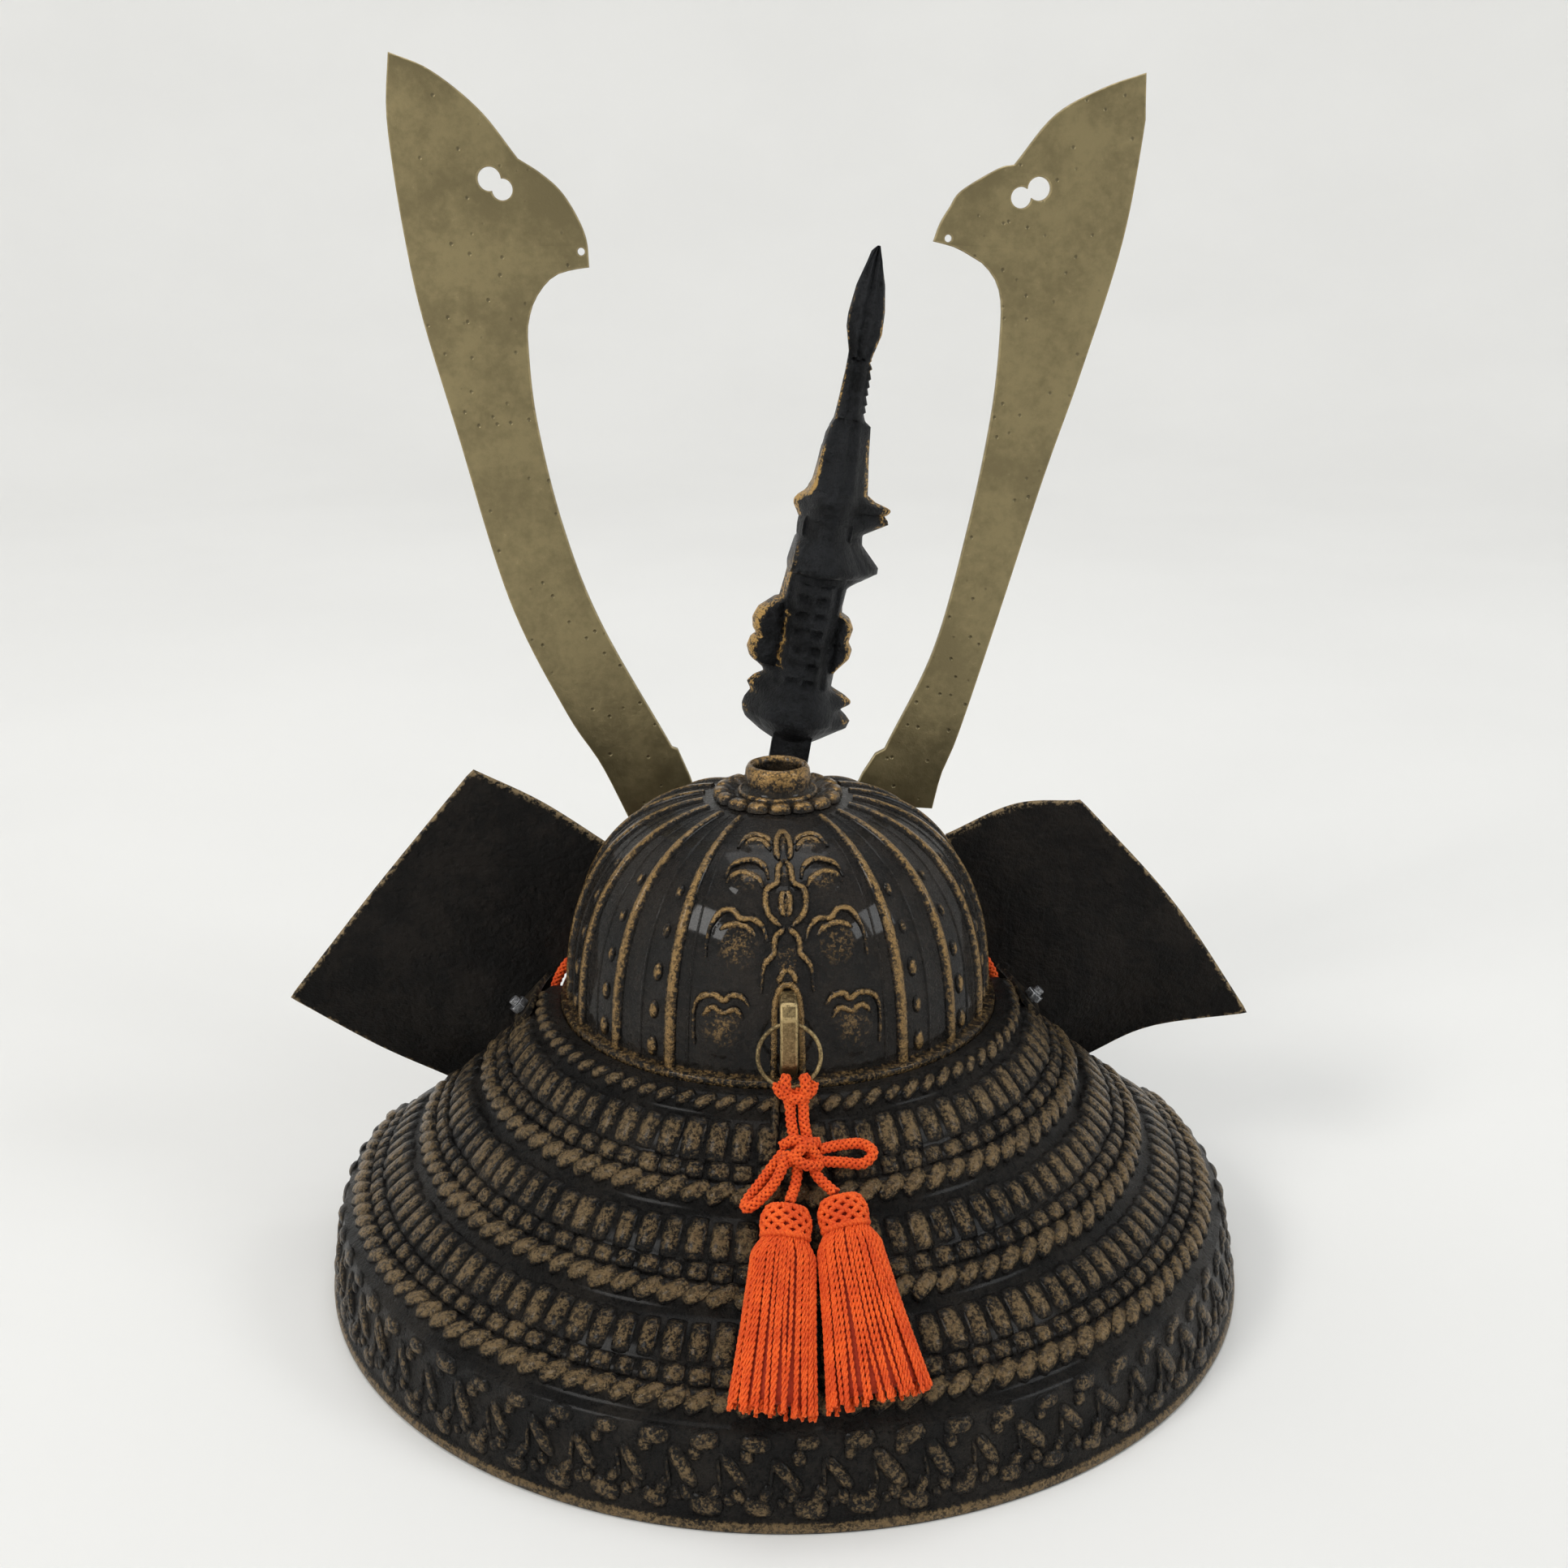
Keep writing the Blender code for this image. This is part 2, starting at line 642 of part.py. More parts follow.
def make_peak(finish, home):
    shelf = CREST_PLANE + HOLDER_DEPTH
    top = LEDGE_HEIGHT
    sections = []
    for k in range(PEAK_STEPS + 1):
        share = 2 * k / PEAK_STEPS - 1
        swell = math.cos(share * math.pi / 2) ** 0.8 if abs(share) < 1 else 0
        reach = shelf + (PEAK_REACH - shelf) * swell + GAP * (1 - swell)
        half = 0.5 * (shelf + reach)
        fall = PEAK_DROP * swell
        profile = (
            (LEDGE_RADIUS, top),
            (shelf, top),
            (half, top - 0.3 * fall),
            (reach, top - fall),
            (reach, top - fall - PEAK_WALL),
            (half, top - 0.3 * fall - PEAK_WALL),
            (shelf, top - PEAK_WALL),
            (LEDGE_RADIUS, top - PEAK_WALL),
        )
        azimuth = 180 + share * PEAK_HALF_DEG
        sections.append([around(r, azimuth, z) for r, z in profile])
    return add_mesh("peak", loft(sections), finish, home)


def slab(outline, front, depth):
    """A flat outline of (x, z) points in an upright plane, given its middle plane and depth."""
    return loft([[Vector((x, -front + side * depth / 2, z)) for x, z in outline]
                 for side in (-1, 1)])


def tang_outline(lean, foot_x, foot_z, top_z, half_width):
    """A straight leaning strip between two heights, through its foot's middle."""
    slope = math.tan(math.radians(lean))
    half = half_width / math.cos(math.radians(lean))
    return [(foot_x - half, foot_z), (foot_x + half, foot_z),
            (foot_x + half + slope * (top_z - foot_z), top_z),
            (foot_x - half + slope * (top_z - foot_z), top_z)]


def horn_spots(side, rows):
    """Points (x, z) of the horn on the side +1 (left) or -1 (right)."""
    column = 0 if side > 0 else 2
    rise = HORN_TOP - HORN_ROOT_HEIGHT
    return [(side * row[column] * HORN_SPREAD, HORN_ROOT_HEIGHT + row[column + 1] * rise)
            for row in rows]


def horn_tang(side, clearance, reach_up):
    """The strip that runs from the blade's root down into the holder."""
    (outer_x, outer_z), (inner_x, inner_z) = horn_spots(side, (HORN_OUTLINE[0], HORN_OUTLINE[-1]))
    root_x = inner_x + TANG_ROOT_SHARE * (outer_x - inner_x)
    root_z = inner_z + TANG_ROOT_SHARE * (outer_z - inner_z)
    foot_z = TANG_FOOT_HEIGHT - clearance
    lean = math.atan2(side * root_x - TANG_FOOT_OFFSET, root_z - TANG_FOOT_HEIGHT)
    foot_x = TANG_FOOT_OFFSET - clearance * math.tan(lean)
    strip = tang_outline(math.degrees(lean), foot_x, foot_z, root_z + reach_up,
                         0.5 * TANG_WIDTH + clearance)
    return [(side * x, z) for x, z in strip]


def make_horn(name, side, finish, home, cutters):
    blade = slab(horn_spots(side, HORN_OUTLINE), CREST_PLANE, HORN_THICKNESS)
    horn = add_mesh(name, blade, finish, home)
    tang = slab(horn_tang(side, 0, 0.4 * TANG_WIDTH), CREST_PLANE, 0.96 * HORN_THICKNESS)
    apply_boolean(horn, add_cutter(name + " tang", tang, cutters), "UNION")
    turn = Matrix.Rotation(math.pi / 2, 4, "X")
    for (x, z), row in zip(horn_spots(side, HORN_HOLES), HORN_HOLES):
        hole = rod(Matrix.Translation((x, -CREST_PLANE, z)) @ turn, -HORN_THICKNESS,
                   HORN_THICKNESS, row[-1] * TANG_WIDTH, HORN_HOLE_SEGMENTS)
        apply_boolean(horn, add_cutter(name + " hole", hole, cutters), "DIFFERENCE")
    return horn


def dragon_foot_x(height):
    slope = math.tan(math.radians(DRAGON_LEAN_DEG))
    return -DRAGON_FOOT_OFFSET - slope * (height - DRAGON_FOOT_HEIGHT)


def dragon_tang(clearance, top):
    foot_z = TANG_FOOT_HEIGHT - clearance
    return tang_outline(-DRAGON_LEAN_DEG, dragon_foot_x(foot_z), foot_z, top,
                        0.5 * DRAGON_TANG_WIDTH + clearance)


def make_holder(finish, home, cutters):
    outline = [(x * HOLDER_HALF_WIDTH, RIM_HEIGHT + z * HOLDER_HEIGHT)
               for x, z in HOLDER_OUTLINE]
    outline += [(-x, z) for x, z in reversed(outline)]
    holder = add_mesh("crest_holder", slab(outline, CREST_PLANE, HOLDER_DEPTH), finish, home)
    slot_top = 2 * HOLDER_HEIGHT
    for side in (-1, 1):
        slot = slab(horn_tang(side, GAP, slot_top), CREST_PLANE, HORN_THICKNESS + 2 * GAP)
        apply_boolean(holder, add_cutter("horn slot", slot, cutters), "DIFFERENCE")
    slot = slab(dragon_tang(GAP, RIM_HEIGHT + slot_top), CREST_PLANE,
                DRAGON_TANG_DEPTH + 2 * GAP)
    apply_boolean(holder, add_cutter("dragon slot", slot, cutters), "DIFFERENCE")
    return holder


def dragon_ring(up, left, right, depth, proud=0.0):
    """A ring across the dragon's axis: an ellipse whose back stays near the crest plane."""
    size = DRAGON_TOP - DRAGON_FOOT_HEIGHT
    lean = math.radians(DRAGON_LEAN_DEG)
    foot = DRAGON_FOOT_HEIGHT + up * size
    back = -CREST_PLANE + 0.5 * DRAGON_TANG_DEPTH + proud
    ring = []
    for k in range(DRAGON_SEGMENTS):
        turn = math.tau * k / DRAGON_SEGMENTS
        across = (0.5 * (left - right) + 0.5 * (left + right) * math.cos(turn)) * size
        ring.append(Vector((dragon_foot_x(foot) + across * math.cos(lean),
                            back - 0.5 * depth * size * (1 - math.sin(turn)),
                            foot + across * math.sin(lean))))
    return ring


def body_half(up):
    """Half the body's width at a share of the height."""
    above = next(k for k, row in enumerate(DRAGON_BODY) if row[0] >= up)
    low, high = DRAGON_BODY[above - 1], DRAGON_BODY[above]
    share = (up - low[0]) / (high[0] - low[0])
    return 0.5 * (low[1] + (high[1] - low[1]) * share)


def make_dragon(finish, home, cutters):
    size = DRAGON_TOP - DRAGON_FOOT_HEIGHT
    body = loft([dragon_ring(up, width / 2, width / 2, depth)
                 for up, width, depth in DRAGON_BODY])
    dragon = add_mesh("dragon_crest", body, finish, home)

    # The head looks forward from the upper body
    head_z = DRAGON_FOOT_HEIGHT + DRAGON_HEAD_UP * size
    head_x = dragon_foot_x(head_z)
    rings = []
    for forward, width, tall, drop in DRAGON_HEAD:
        y = -CREST_PLANE - forward * size
        turns = [math.tau * k / DRAGON_SEGMENTS for k in range(DRAGON_SEGMENTS)]
        rings.append([Vector((head_x + 0.5 * width * size * math.cos(turn), y,
                              head_z - drop * size + 0.5 * tall * size * math.sin(turn)))
                      for turn in turns])
    apply_boolean(dragon, add_cutter("dragon head", loft(rings), cutters), "UNION")
    tang = slab(dragon_tang(0, DRAGON_FOOT_HEIGHT + 0.10 * size), CREST_PLANE,
                DRAGON_TANG_DEPTH)
    apply_boolean(dragon, add_cutter("dragon tang", tang, cutters), "UNION")

    # Flared tufts round the body, and the round lobes of its coils at the sides
    for up, left, right, rise, drop, depth in DRAGON_FLARES:
        above = 0.7 * body_half(up + rise)
        below = 0.7 * body_half(max(up - drop, DRAGON_BODY[1][0]))
        flare = loft([dragon_ring(*row, TUFT_PROUD) for row in (
            (up - drop, below, below, 0.5 * depth),
            (up - 0.4 * drop, 0.90 * left, 0.90 * right, 0.90 * depth),
            (up + 0.1 * rise, left, right, depth),
            (up + rise, above, above, 0.6 * depth))])
        apply_boolean(dragon, add_cutter("dragon flare", flare, cutters), "UNION")
    turn = Matrix.Rotation(math.pi / 2, 4, "X")
    lean = math.radians(DRAGON_LEAN_DEG)
    for up, across, radius in DRAGON_LOBES:
        foot = DRAGON_FOOT_HEIGHT + up * size
        place = (dragon_foot_x(foot) + across * size * math.cos(lean),
                 -CREST_PLANE - 1.5 * radius * size, foot + across * size * math.sin(lean))
        lobe = rod(Matrix.Translation(place) @ turn, -radius * size, radius * size,
                   radius * size, LOBE_SEGMENTS)
        apply_boolean(dragon, add_cutter("dragon lobe", lobe, cutters), "UNION")
    return dragon


def plate_points(side_name, side):
    """The plate's named corners and edge middles."""
    columns = (1, 2) if side_name == "left" else (3, 4)
    points = {}
    for row in PLATE_EDGES:
        across, up = row[columns[0]], row[columns[1]]
        out = BOWL_RADIUS + across * (PLATE_REACH - BOWL_RADIUS)
        points[row[0]] = Vector((side * out, -row[5] * PLATE_FRONT, up * PLATE_TOP))
    for name, down in (("low inner", PLATE_LOW_ROOT[side_name]),
                       ("middle root", PLATE_MIDDLE_ROOT), ("waist", PLATE_WAIST_ROOT)):
        radius, height = slope_point(down, 0)
        past = math.degrees((0.5 * PLATE_WALL + PLATE_ROOT_GAP) / radius)
        points[name] = on_guard(radius, side * (end_azimuth(height) + past), height)
    return points


def along(points, share):
    """A smooth curve through three or four points, share 0 to 1."""
    spots = len(points) - 1
    i = min(int(share * spots), spots - 1)
    t = share * spots - i
    a = points[i - 1] if i else 2 * points[0] - points[1]
    b, c = points[i], points[i + 1]
    d = points[i + 2] if i + 2 < len(points) else 2 * points[-1] - points[-2]
    return 0.5 * (2 * b + (c - a) * t + (2 * a - 5 * b + 4 * c - d) * t**2
                  + (3 * b - a - 3 * c + d) * t**3)


def make_plate(name, side_name, side, finish, home, cutters):
    spot = plate_points(side_name, side)
    bottom = [spot["low inner"], spot["low middle"], spot["outer low"]]
    top = [spot["inner top"], spot["top middle"], spot["outer top"]]
    inner = [spot["low inner"], spot["middle root"], spot["waist"], spot["inner low"],
             spot["inner middle"], spot["inner top"]]
    outer = [spot["outer low"], spot["outer middle"], spot["outer top"]]
    shape = bmesh.new()
    grid = []
    for i in range(PLATE_STEPS + 1):
        u = i / PLATE_STEPS
        line = []
        for j in range(PLATE_STEPS + 1):
            v = j / PLATE_STEPS
            place = ((1 - v) * along(bottom, u) + v * along(top, u)
                     + (1 - u) * along(inner, v) + u * along(outer, v))
            place -= ((1 - u) * (1 - v) * bottom[0] + u * (1 - v) * bottom[-1]
                      + (1 - u) * v * top[0] + u * v * top[-1])
            line.append(shape.verts.new(place))
        grid.append(line)
    for i in range(PLATE_STEPS):
        for j in range(PLATE_STEPS):
            shape.faces.new((grid[i][j], grid[i + 1][j], grid[i + 1][j + 1], grid[i][j + 1]))
    plate = add_mesh(name, shape, finish, home)
    wall = plate.modifiers.new("Wall", "SOLIDIFY")
    wall.thickness = PLATE_WALL
    wall.offset = 0

    # The ear lies on the guard and takes the bolt
    middle = BOLT_AZIMUTH_DEG + 90
    foot = TIER_LIFT + GAP
    sections = []
    for k in range(5):
        share = k / 4
        radius = slope_point(BOLT_DOWN / SLOPE_LENGTH, foot)[0]
        start = middle - math.degrees(EAR_RADIUS / radius)
        azimuth = start + (middle + EAR_REACH_DEG - start) * share
        reach = EAR_RADIUS * (0.6 + 0.4 * min(1, 3 * share))
        sections.append([on_guard(*polar_at(down, lift, side * azimuth)) for down, lift in (
            (BOLT_DOWN - reach, foot), (BOLT_DOWN + reach, foot),
            (BOLT_DOWN + reach, foot + EAR_THICKNESS), (BOLT_DOWN - reach, foot + EAR_THICKNESS))])
    apply_boolean(plate, add_cutter(name + " ear", loft(sections), cutters), "UNION")
    return plate


def polar_at(down, lift, azimuth):
    radius, height = slope_point(down / SLOPE_LENGTH, lift)
    return radius, azimuth, height


def bolt_frame(side):
    """Place and outward normal of the bolt on the guard's slope."""
    azimuth = side * (90 + BOLT_AZIMUTH_DEG)
    radius, height = slope_point(BOLT_DOWN / SLOPE_LENGTH, 0)
    place = on_guard(radius, azimuth, height)
    normal = around(SLOPE_FALL, azimuth, SLOPE_RUN)
    turn = normal.to_track_quat("Z", "Y").to_matrix().to_4x4()
    return Matrix.Translation(place) @ turn


def rod(frame, low, high, radius, segments):
    shape = bmesh.new()
    bmesh.ops.create_cone(shape, cap_ends=True, segments=segments, radius1=radius,
                          radius2=radius, depth=high - low)
    bmesh.ops.transform(shape, matrix=frame @ Matrix.Translation((0, 0, 0.5 * (low + high))),
                        verts=shape.verts)
    return shape


def make_bolt(side_name, side, finish, home, cutters, pierced):
    frame = bolt_frame(side)
    inside = -GUARD_WALL - BOLT_TAIL
    ear_top = TIER_LIFT + GAP + EAR_THICKNESS
    for target in pierced:
        hole = rod(frame, inside, 3 * ear_top, BOLT_RADIUS + BOLT_CLEARANCE,
                   BOLT_SEGMENTS)
        apply_boolean(target, add_cutter("bolt hole", hole, cutters), "DIFFERENCE")
    bolt = add_mesh("bolt_" + side_name, rod(frame, inside - 0.5 * BOLT_HEAD_HEIGHT,
                    BOLT_STICK_OUT, BOLT_RADIUS, BOLT_SEGMENTS), finish, home)
    head = rod(frame, inside - BOLT_HEAD_HEIGHT, inside, BOLT_HEAD_RADIUS, BOLT_SEGMENTS)
    apply_boolean(bolt, add_cutter("bolt head", head, cutters), "UNION")
    nut = add_mesh("nut_" + side_name, rod(frame, ear_top + 2 * GAP, ear_top + 2 * GAP + NUT_HEIGHT,
                   NUT_ACROSS / math.sqrt(3), 6), finish, home)
    bore = rod(frame, ear_top, ear_top + 2 * NUT_HEIGHT, BOLT_RADIUS + BOLT_CLEARANCE,
                   BOLT_SEGMENTS)
    apply_boolean(nut, add_cutter("nut bore", bore, cutters), "DIFFERENCE")


def make_lug(finish, home):
    """A strap bent out from the bowl and back to it, through pairs of outside and inside points."""
    out = dome_radius_at(0.5 * (LUG_TOP + LUG_BOTTOM)) + LUG_STAND_OFF + LUG_THICKNESS
    foot_top = dome_radius_at(LUG_TOP) + GAP
    foot_low = dome_radius_at(LUG_BOTTOM) + GAP
    pairs = [((foot_top, LUG_TOP), (foot_top, LUG_TOP - LUG_THICKNESS))]
    for short, down, inner_down, inwards, downwards in LUG_BENDS:
        y = out - short * LUG_STAND_OFF
        inner_z = LUG_TOP - inner_down * LUG_HEIGHT - downwards * LUG_THICKNESS
        pairs.append(((y, LUG_TOP - down * LUG_HEIGHT), (y - inwards * LUG_THICKNESS, inner_z)))
    pairs.append(((foot_low, LUG_BOTTOM), (foot_low, LUG_BOTTOM + LUG_THICKNESS)))
    half = LUG_WIDTH / 2
    sections = [[Vector((-half, y0, z0)), Vector((half, y0, z0)),
                 Vector((half, y1, z1)), Vector((-half, y1, z1))]
                for (y0, z0), (y1, z1) in pairs]
    return add_mesh("rear_lug", loft(sections), finish, home)


def dome_radius_at(height):
    share = min(max((height - RIM_HEIGHT) / BOWL_RISE, 0), 1)
    return BOWL_RADIUS * (1 - share**BOWL_CROWN_POWER) ** (1 / BOWL_SIDE_POWER)


def ring_frame():
    """The ring leans against the lug, its top tucked behind the strap."""
    tilt = math.radians(RING_TILT_DEG)
    behind = dome_radius_at(0.5 * (LUG_TOP + LUG_BOTTOM)) + LUG_STAND_OFF - RING_WIRE - 2 * GAP
    top = LUG_TOP - 0.33 * LUG_HEIGHT
    centre = Vector((0, behind + RING_RADIUS * math.sin(tilt), top - RING_RADIUS * math.cos(tilt)))
    return Matrix.Translation(centre) @ Matrix.Rotation(math.pi / 2 + tilt, 4, "X")


def ring_torus(wire):
    """The ring's shape on its own circle, with the given wire radius."""
    frame = ring_frame()
    rings = []
    for k in range(RING_STEPS):
        turn = math.tau * k / RING_STEPS
        out = Vector((math.cos(turn), math.sin(turn), 0))
        ring = []
        for j in range(WIRE_STEPS):
            spin = math.tau * j / WIRE_STEPS
            ring.append(frame @ (out * (RING_RADIUS + wire * math.cos(spin))
                                 + Vector((0, 0, wire * math.sin(spin)))))
        rings.append(ring)
    return loft(rings, closed=True)


def make_hitch(finish, home, cutters):
    hitch = bmesh.new()
    bmesh.ops.create_uvsphere(hitch, u_segments=14, v_segments=8, radius=CORD_RADIUS)
    size = Matrix.Diagonal((*HITCH_SIZE, 1))
    lean = Matrix.Rotation(-math.radians(HITCH_LEAN_DEG), 4, "X")
    low = ring_frame() @ Vector((0, -RING_RADIUS, 0))
    place = low + CORD_RADIUS * Vector(HITCH_PLACE)
    bmesh.ops.transform(hitch, matrix=Matrix.Translation(place) @ lean @ size,
                        verts=hitch.verts)
    made = add_mesh("cord_hitch", hitch, finish, home)
    tunnel = ring_torus(RING_WIRE + GAP)
    apply_boolean(made, add_cutter("ring tunnel", tunnel, cutters), "DIFFERENCE")
    return made


def make_tassel(name, top, from_middle, lean_deg, finish, home):
    """A netted cap and a skirt of locks, laid down the slope of the guard."""
    lean = math.radians(lean_deg)
    count = 2 * TASSEL_LOCKS
    sections = []
    for (cap, skirt, cap_width, top_width, end_width, deep, groove) in TASSEL_PROFILE:
        down_it = cap * TASSEL_CAP_LENGTH + skirt * TASSEL_SKIRT_LENGTH
        half_width = 0.5 * (cap_width * TASSEL_CAP_WIDTH + top_width * TASSEL_SKIRT_TOP
                            + end_width * TASSEL_SKIRT_WIDTH)
        rag = TASSEL_RAG * TASSEL_SKIRT_LENGTH if skirt == 1 else 0
        ring = []
        for k in range(count):
            turn = math.tau * k / count
            lock = 1 - groove * (k % 2)
            side = half_width * lock * math.cos(turn)
            rise = 0.5 * deep * TASSEL_DEPTH * lock * math.sin(turn)
            reach = down_it + rag * math.sin(5 * turn)
            down = top + reach * math.cos(lean) - side * math.sin(lean)
            across = from_middle + reach * math.sin(lean) + side * math.cos(lean)
            ring.append(on_slope(down, across, ROPE_LIFT + GAP + 0.5 * TASSEL_DEPTH + rise))
        sections.append(ring)
    return add_mesh(name, loft(sections), finish, home)


def side_cord_route():
    """Round the front of the bowl on its lip, and down past the guard's ends."""
    rest = LIP_THICKNESS + CORD_RADIUS + 2 * GAP
    half = [around(LIP_RADIUS + out, azimuth, RIM_HEIGHT + up)
            for azimuth, out, up in SIDE_CORD_DROP]
    start = SIDE_CORD_DROP[-1][0]
    for k in range(1, 11):
        azimuth = start + (180 - start) * k / 10
        half.append(around(LIP_RADIUS, azimuth, RIM_HEIGHT + rest))
    return smooth_route(half + [Vector((-p.x, p.y, p.z)) for p in reversed(half[:-1])],
                        SIDE_CORD_STEPS)


def main():
    for item in list(bpy.data.objects):
        bpy.data.objects.remove(item, do_unlink=True)
    home = new_collection("Kabuto")
    cutters = new_collection("Cutters")
    dark = material("Patinated bronze", (0.060, 0.050, 0.038), 0.45, 0.9)
    blade = material("Aged brass", (0.300, 0.240, 0.130), 0.50, 0.9)
    black = material("Blackened crest", (0.035, 0.030, 0.025), 0.40, 0.8)
    brass = material("Rubbed brass", (0.420, 0.320, 0.150), 0.35, 1.0)
    steel = material("Dull steel", (0.220, 0.220, 0.220), 0.45, 1.0)
    orange = material("Orange cord", (0.800, 0.130, 0.030), 0.80, 0.0)

    make_bowl(dark, home, cutters)
    make_collar(dark, home)
    guard = make_guard(dark, home)
    make_peak(dark, home)
    make_holder(dark, home, cutters)
    make_horn("horn_left", 1, blade, home, cutters)
    make_horn("horn_right", -1, blade, home, cutters)
    make_dragon(black, home, cutters)
    for side_name, side in (("left", 1), ("right", -1)):
        plate = make_plate("turnback_" + side_name, side_name, side, dark, home, cutters)
        make_bolt(side_name, side, steel, home, cutters, (guard, plate))
    make_lug(brass, home)
    add_mesh("rear_ring", ring_torus(RING_WIRE), brass, home)

    make_hitch(orange, home, cutters)
    for name, route, count in (("tassel_cord_left", LEFT_CORD, CORD_STEPS),
                               ("tassel_cord_right", RIGHT_CORD, CORD_STEPS),
                               ("bow_loop_left", LEFT_LOOP, LOOP_STEPS),
                               ("bow_loop_right", RIGHT_LOOP, LOOP_STEPS)):
        places = [on_slope(*row) for row in smooth_route(route, count)]
        add_tube(name, places, CORD_RADIUS, orange, home)
    for row in TASSELS:
        make_tassel(*row, orange, home)

    add_tube("side_cord", side_cord_route(), CORD_RADIUS, orange, home)

    # The origin is under the middle of the helmet's outline
    centre = bpy.data.objects.new("helmet", None)
    home.objects.link(centre)
    for item in home.objects:
        if item is not centre:
            item.parent = centre
    centre.location = (0, 0.5 * (PEAK_REACH - GUARD_RADIUS), 0)


main()
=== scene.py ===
# Kabuto helmet seen from behind: ribbed bowl with a petal collar, lamellar neck guard,
# turned-back plates, horns, a dragon crest, and an orange cord with two tassels.
import math
import random

import bmesh
import bpy
import numpy as np
from mathutils import Matrix, Vector


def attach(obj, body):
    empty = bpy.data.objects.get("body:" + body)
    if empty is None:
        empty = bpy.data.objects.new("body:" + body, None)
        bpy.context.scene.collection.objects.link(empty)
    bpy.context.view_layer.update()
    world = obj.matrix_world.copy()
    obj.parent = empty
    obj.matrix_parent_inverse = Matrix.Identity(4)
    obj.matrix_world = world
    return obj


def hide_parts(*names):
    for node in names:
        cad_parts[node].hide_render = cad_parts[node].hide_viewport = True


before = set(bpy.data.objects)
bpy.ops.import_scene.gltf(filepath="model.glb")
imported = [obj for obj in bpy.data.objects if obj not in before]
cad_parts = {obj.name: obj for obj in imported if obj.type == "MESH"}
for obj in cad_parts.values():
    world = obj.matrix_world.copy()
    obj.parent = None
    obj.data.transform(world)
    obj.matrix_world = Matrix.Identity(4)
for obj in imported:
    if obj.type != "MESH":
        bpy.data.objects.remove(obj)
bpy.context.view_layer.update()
dice = random.Random(11)
finishes = {}
print("frame loaded:", len(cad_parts), "nodes")

def addObject(name, data):
    made = bpy.data.objects.new(name, data)
    bpy.context.scene.collection.objects.link(made)
    return made


# camera, stage and light

view = {
    "place": (0.024514, 0.545269, 0.3396),
    "look": (-0.044926, -0.952661, -0.300706),
    "lens": 42.86,
    "sweepStart": 1.7,
    "sweepRadius": 1.6,
    "sweepWall": 0.9,
    "sweepFlats": 4,
    "sweepRows": 20,
    "sweepTurns": 128,
    "floorColour": (0.80, 0.795, 0.775),
    "worldColour": (0.94, 0.97, 1.0),
    "worldStrength": 0.34,
}
lamps = (
    # name, place, aim, size, power, colour
    ("windowLeft", (2.2, 1.6, 2.2), (0.0, -0.2, 0.15), 1.0, 42.0, (1.0, 0.985, 0.96)),
    ("windowRight", (-2.2, 1.0, 1.6), (0.0, -0.2, 0.12), 0.8, 17.0, (0.95, 0.98, 1.0)),
    ("ceiling", (0.0, -0.2, 3.4), (0.0, -0.2, 0.0), 2.0, 38.0, (1.0, 1.0, 1.0)),
    ("backdropLight", (0.0, -1.2, 3.4), (0.0, -3.2, 0.8), 2.6, 16.0, (1.0, 0.995, 0.99)),
)


def addCamera():
    data = bpy.data.cameras.new("photographer")
    data.lens = view["lens"]
    camera = addObject("photographer", data)
    camera.location = view["place"]
    camera.rotation_euler = Vector(view["look"]).to_track_quat("-Z", "Y").to_euler()
    bpy.context.scene.camera = camera


def addLamps():
    for name, place, aim, size, power, colour in lamps:
        data = bpy.data.lights.new(name, "AREA")
        data.size = size
        data.energy = power
        data.color = colour
        lamp = addObject(name, data)
        lamp.location = place
        lamp.rotation_euler = (Vector(aim) - Vector(place)).to_track_quat("-Z", "Y").to_euler()
    world = bpy.data.worlds.new("paleRoom")
    world.use_nodes = True
    sky = world.node_tree.nodes["Background"]
    sky.inputs["Color"].default_value = (*view["worldColour"], 1)
    sky.inputs["Strength"].default_value = view["worldStrength"]
    bpy.context.scene.world = world
    bpy.context.scene.view_settings.view_transform = "Standard"


addCamera()
addLamps()
print("camera and lamps placed")


# shader and geometry node helpers

class Wire:
    # an output socket; sums and products on it add Math nodes
    def __init__(self, nodes, socket):
        self.nodes = nodes
        self.socket = socket

    def maths(self, operation, first, second=None):
        values = {0: first} if second is None else {0: first, 1: second}
        return self.nodes.make("ShaderNodeMath", {"operation": operation}, values)

    def __add__(self, other):
        return self.maths("ADD", self, other)

    def __sub__(self, other):
        return self.maths("SUBTRACT", self, other)

    def __rsub__(self, other):
        return self.maths("SUBTRACT", other, self)

    def __mul__(self, other):
        return self.maths("MULTIPLY", self, other)

    __radd__ = __add__
    __rmul__ = __mul__


class Nodes:
    # makes any node from its type, its settings and the values or links of its sockets
    def __init__(self, tree):
        self.tree = tree

    def make(self, kind, settings=None, values=None, out=0):
        node = self.tree.nodes.new(kind)
        for name, value in (settings or {}).items():
            setattr(node, name, value)
        for name, value in (values or {}).items():
            if isinstance(value, Wire):
                self.tree.links.new(value.socket, node.inputs[name])
            else:
                node.inputs[name].default_value = value
        return Wire(self, node.outputs[out])


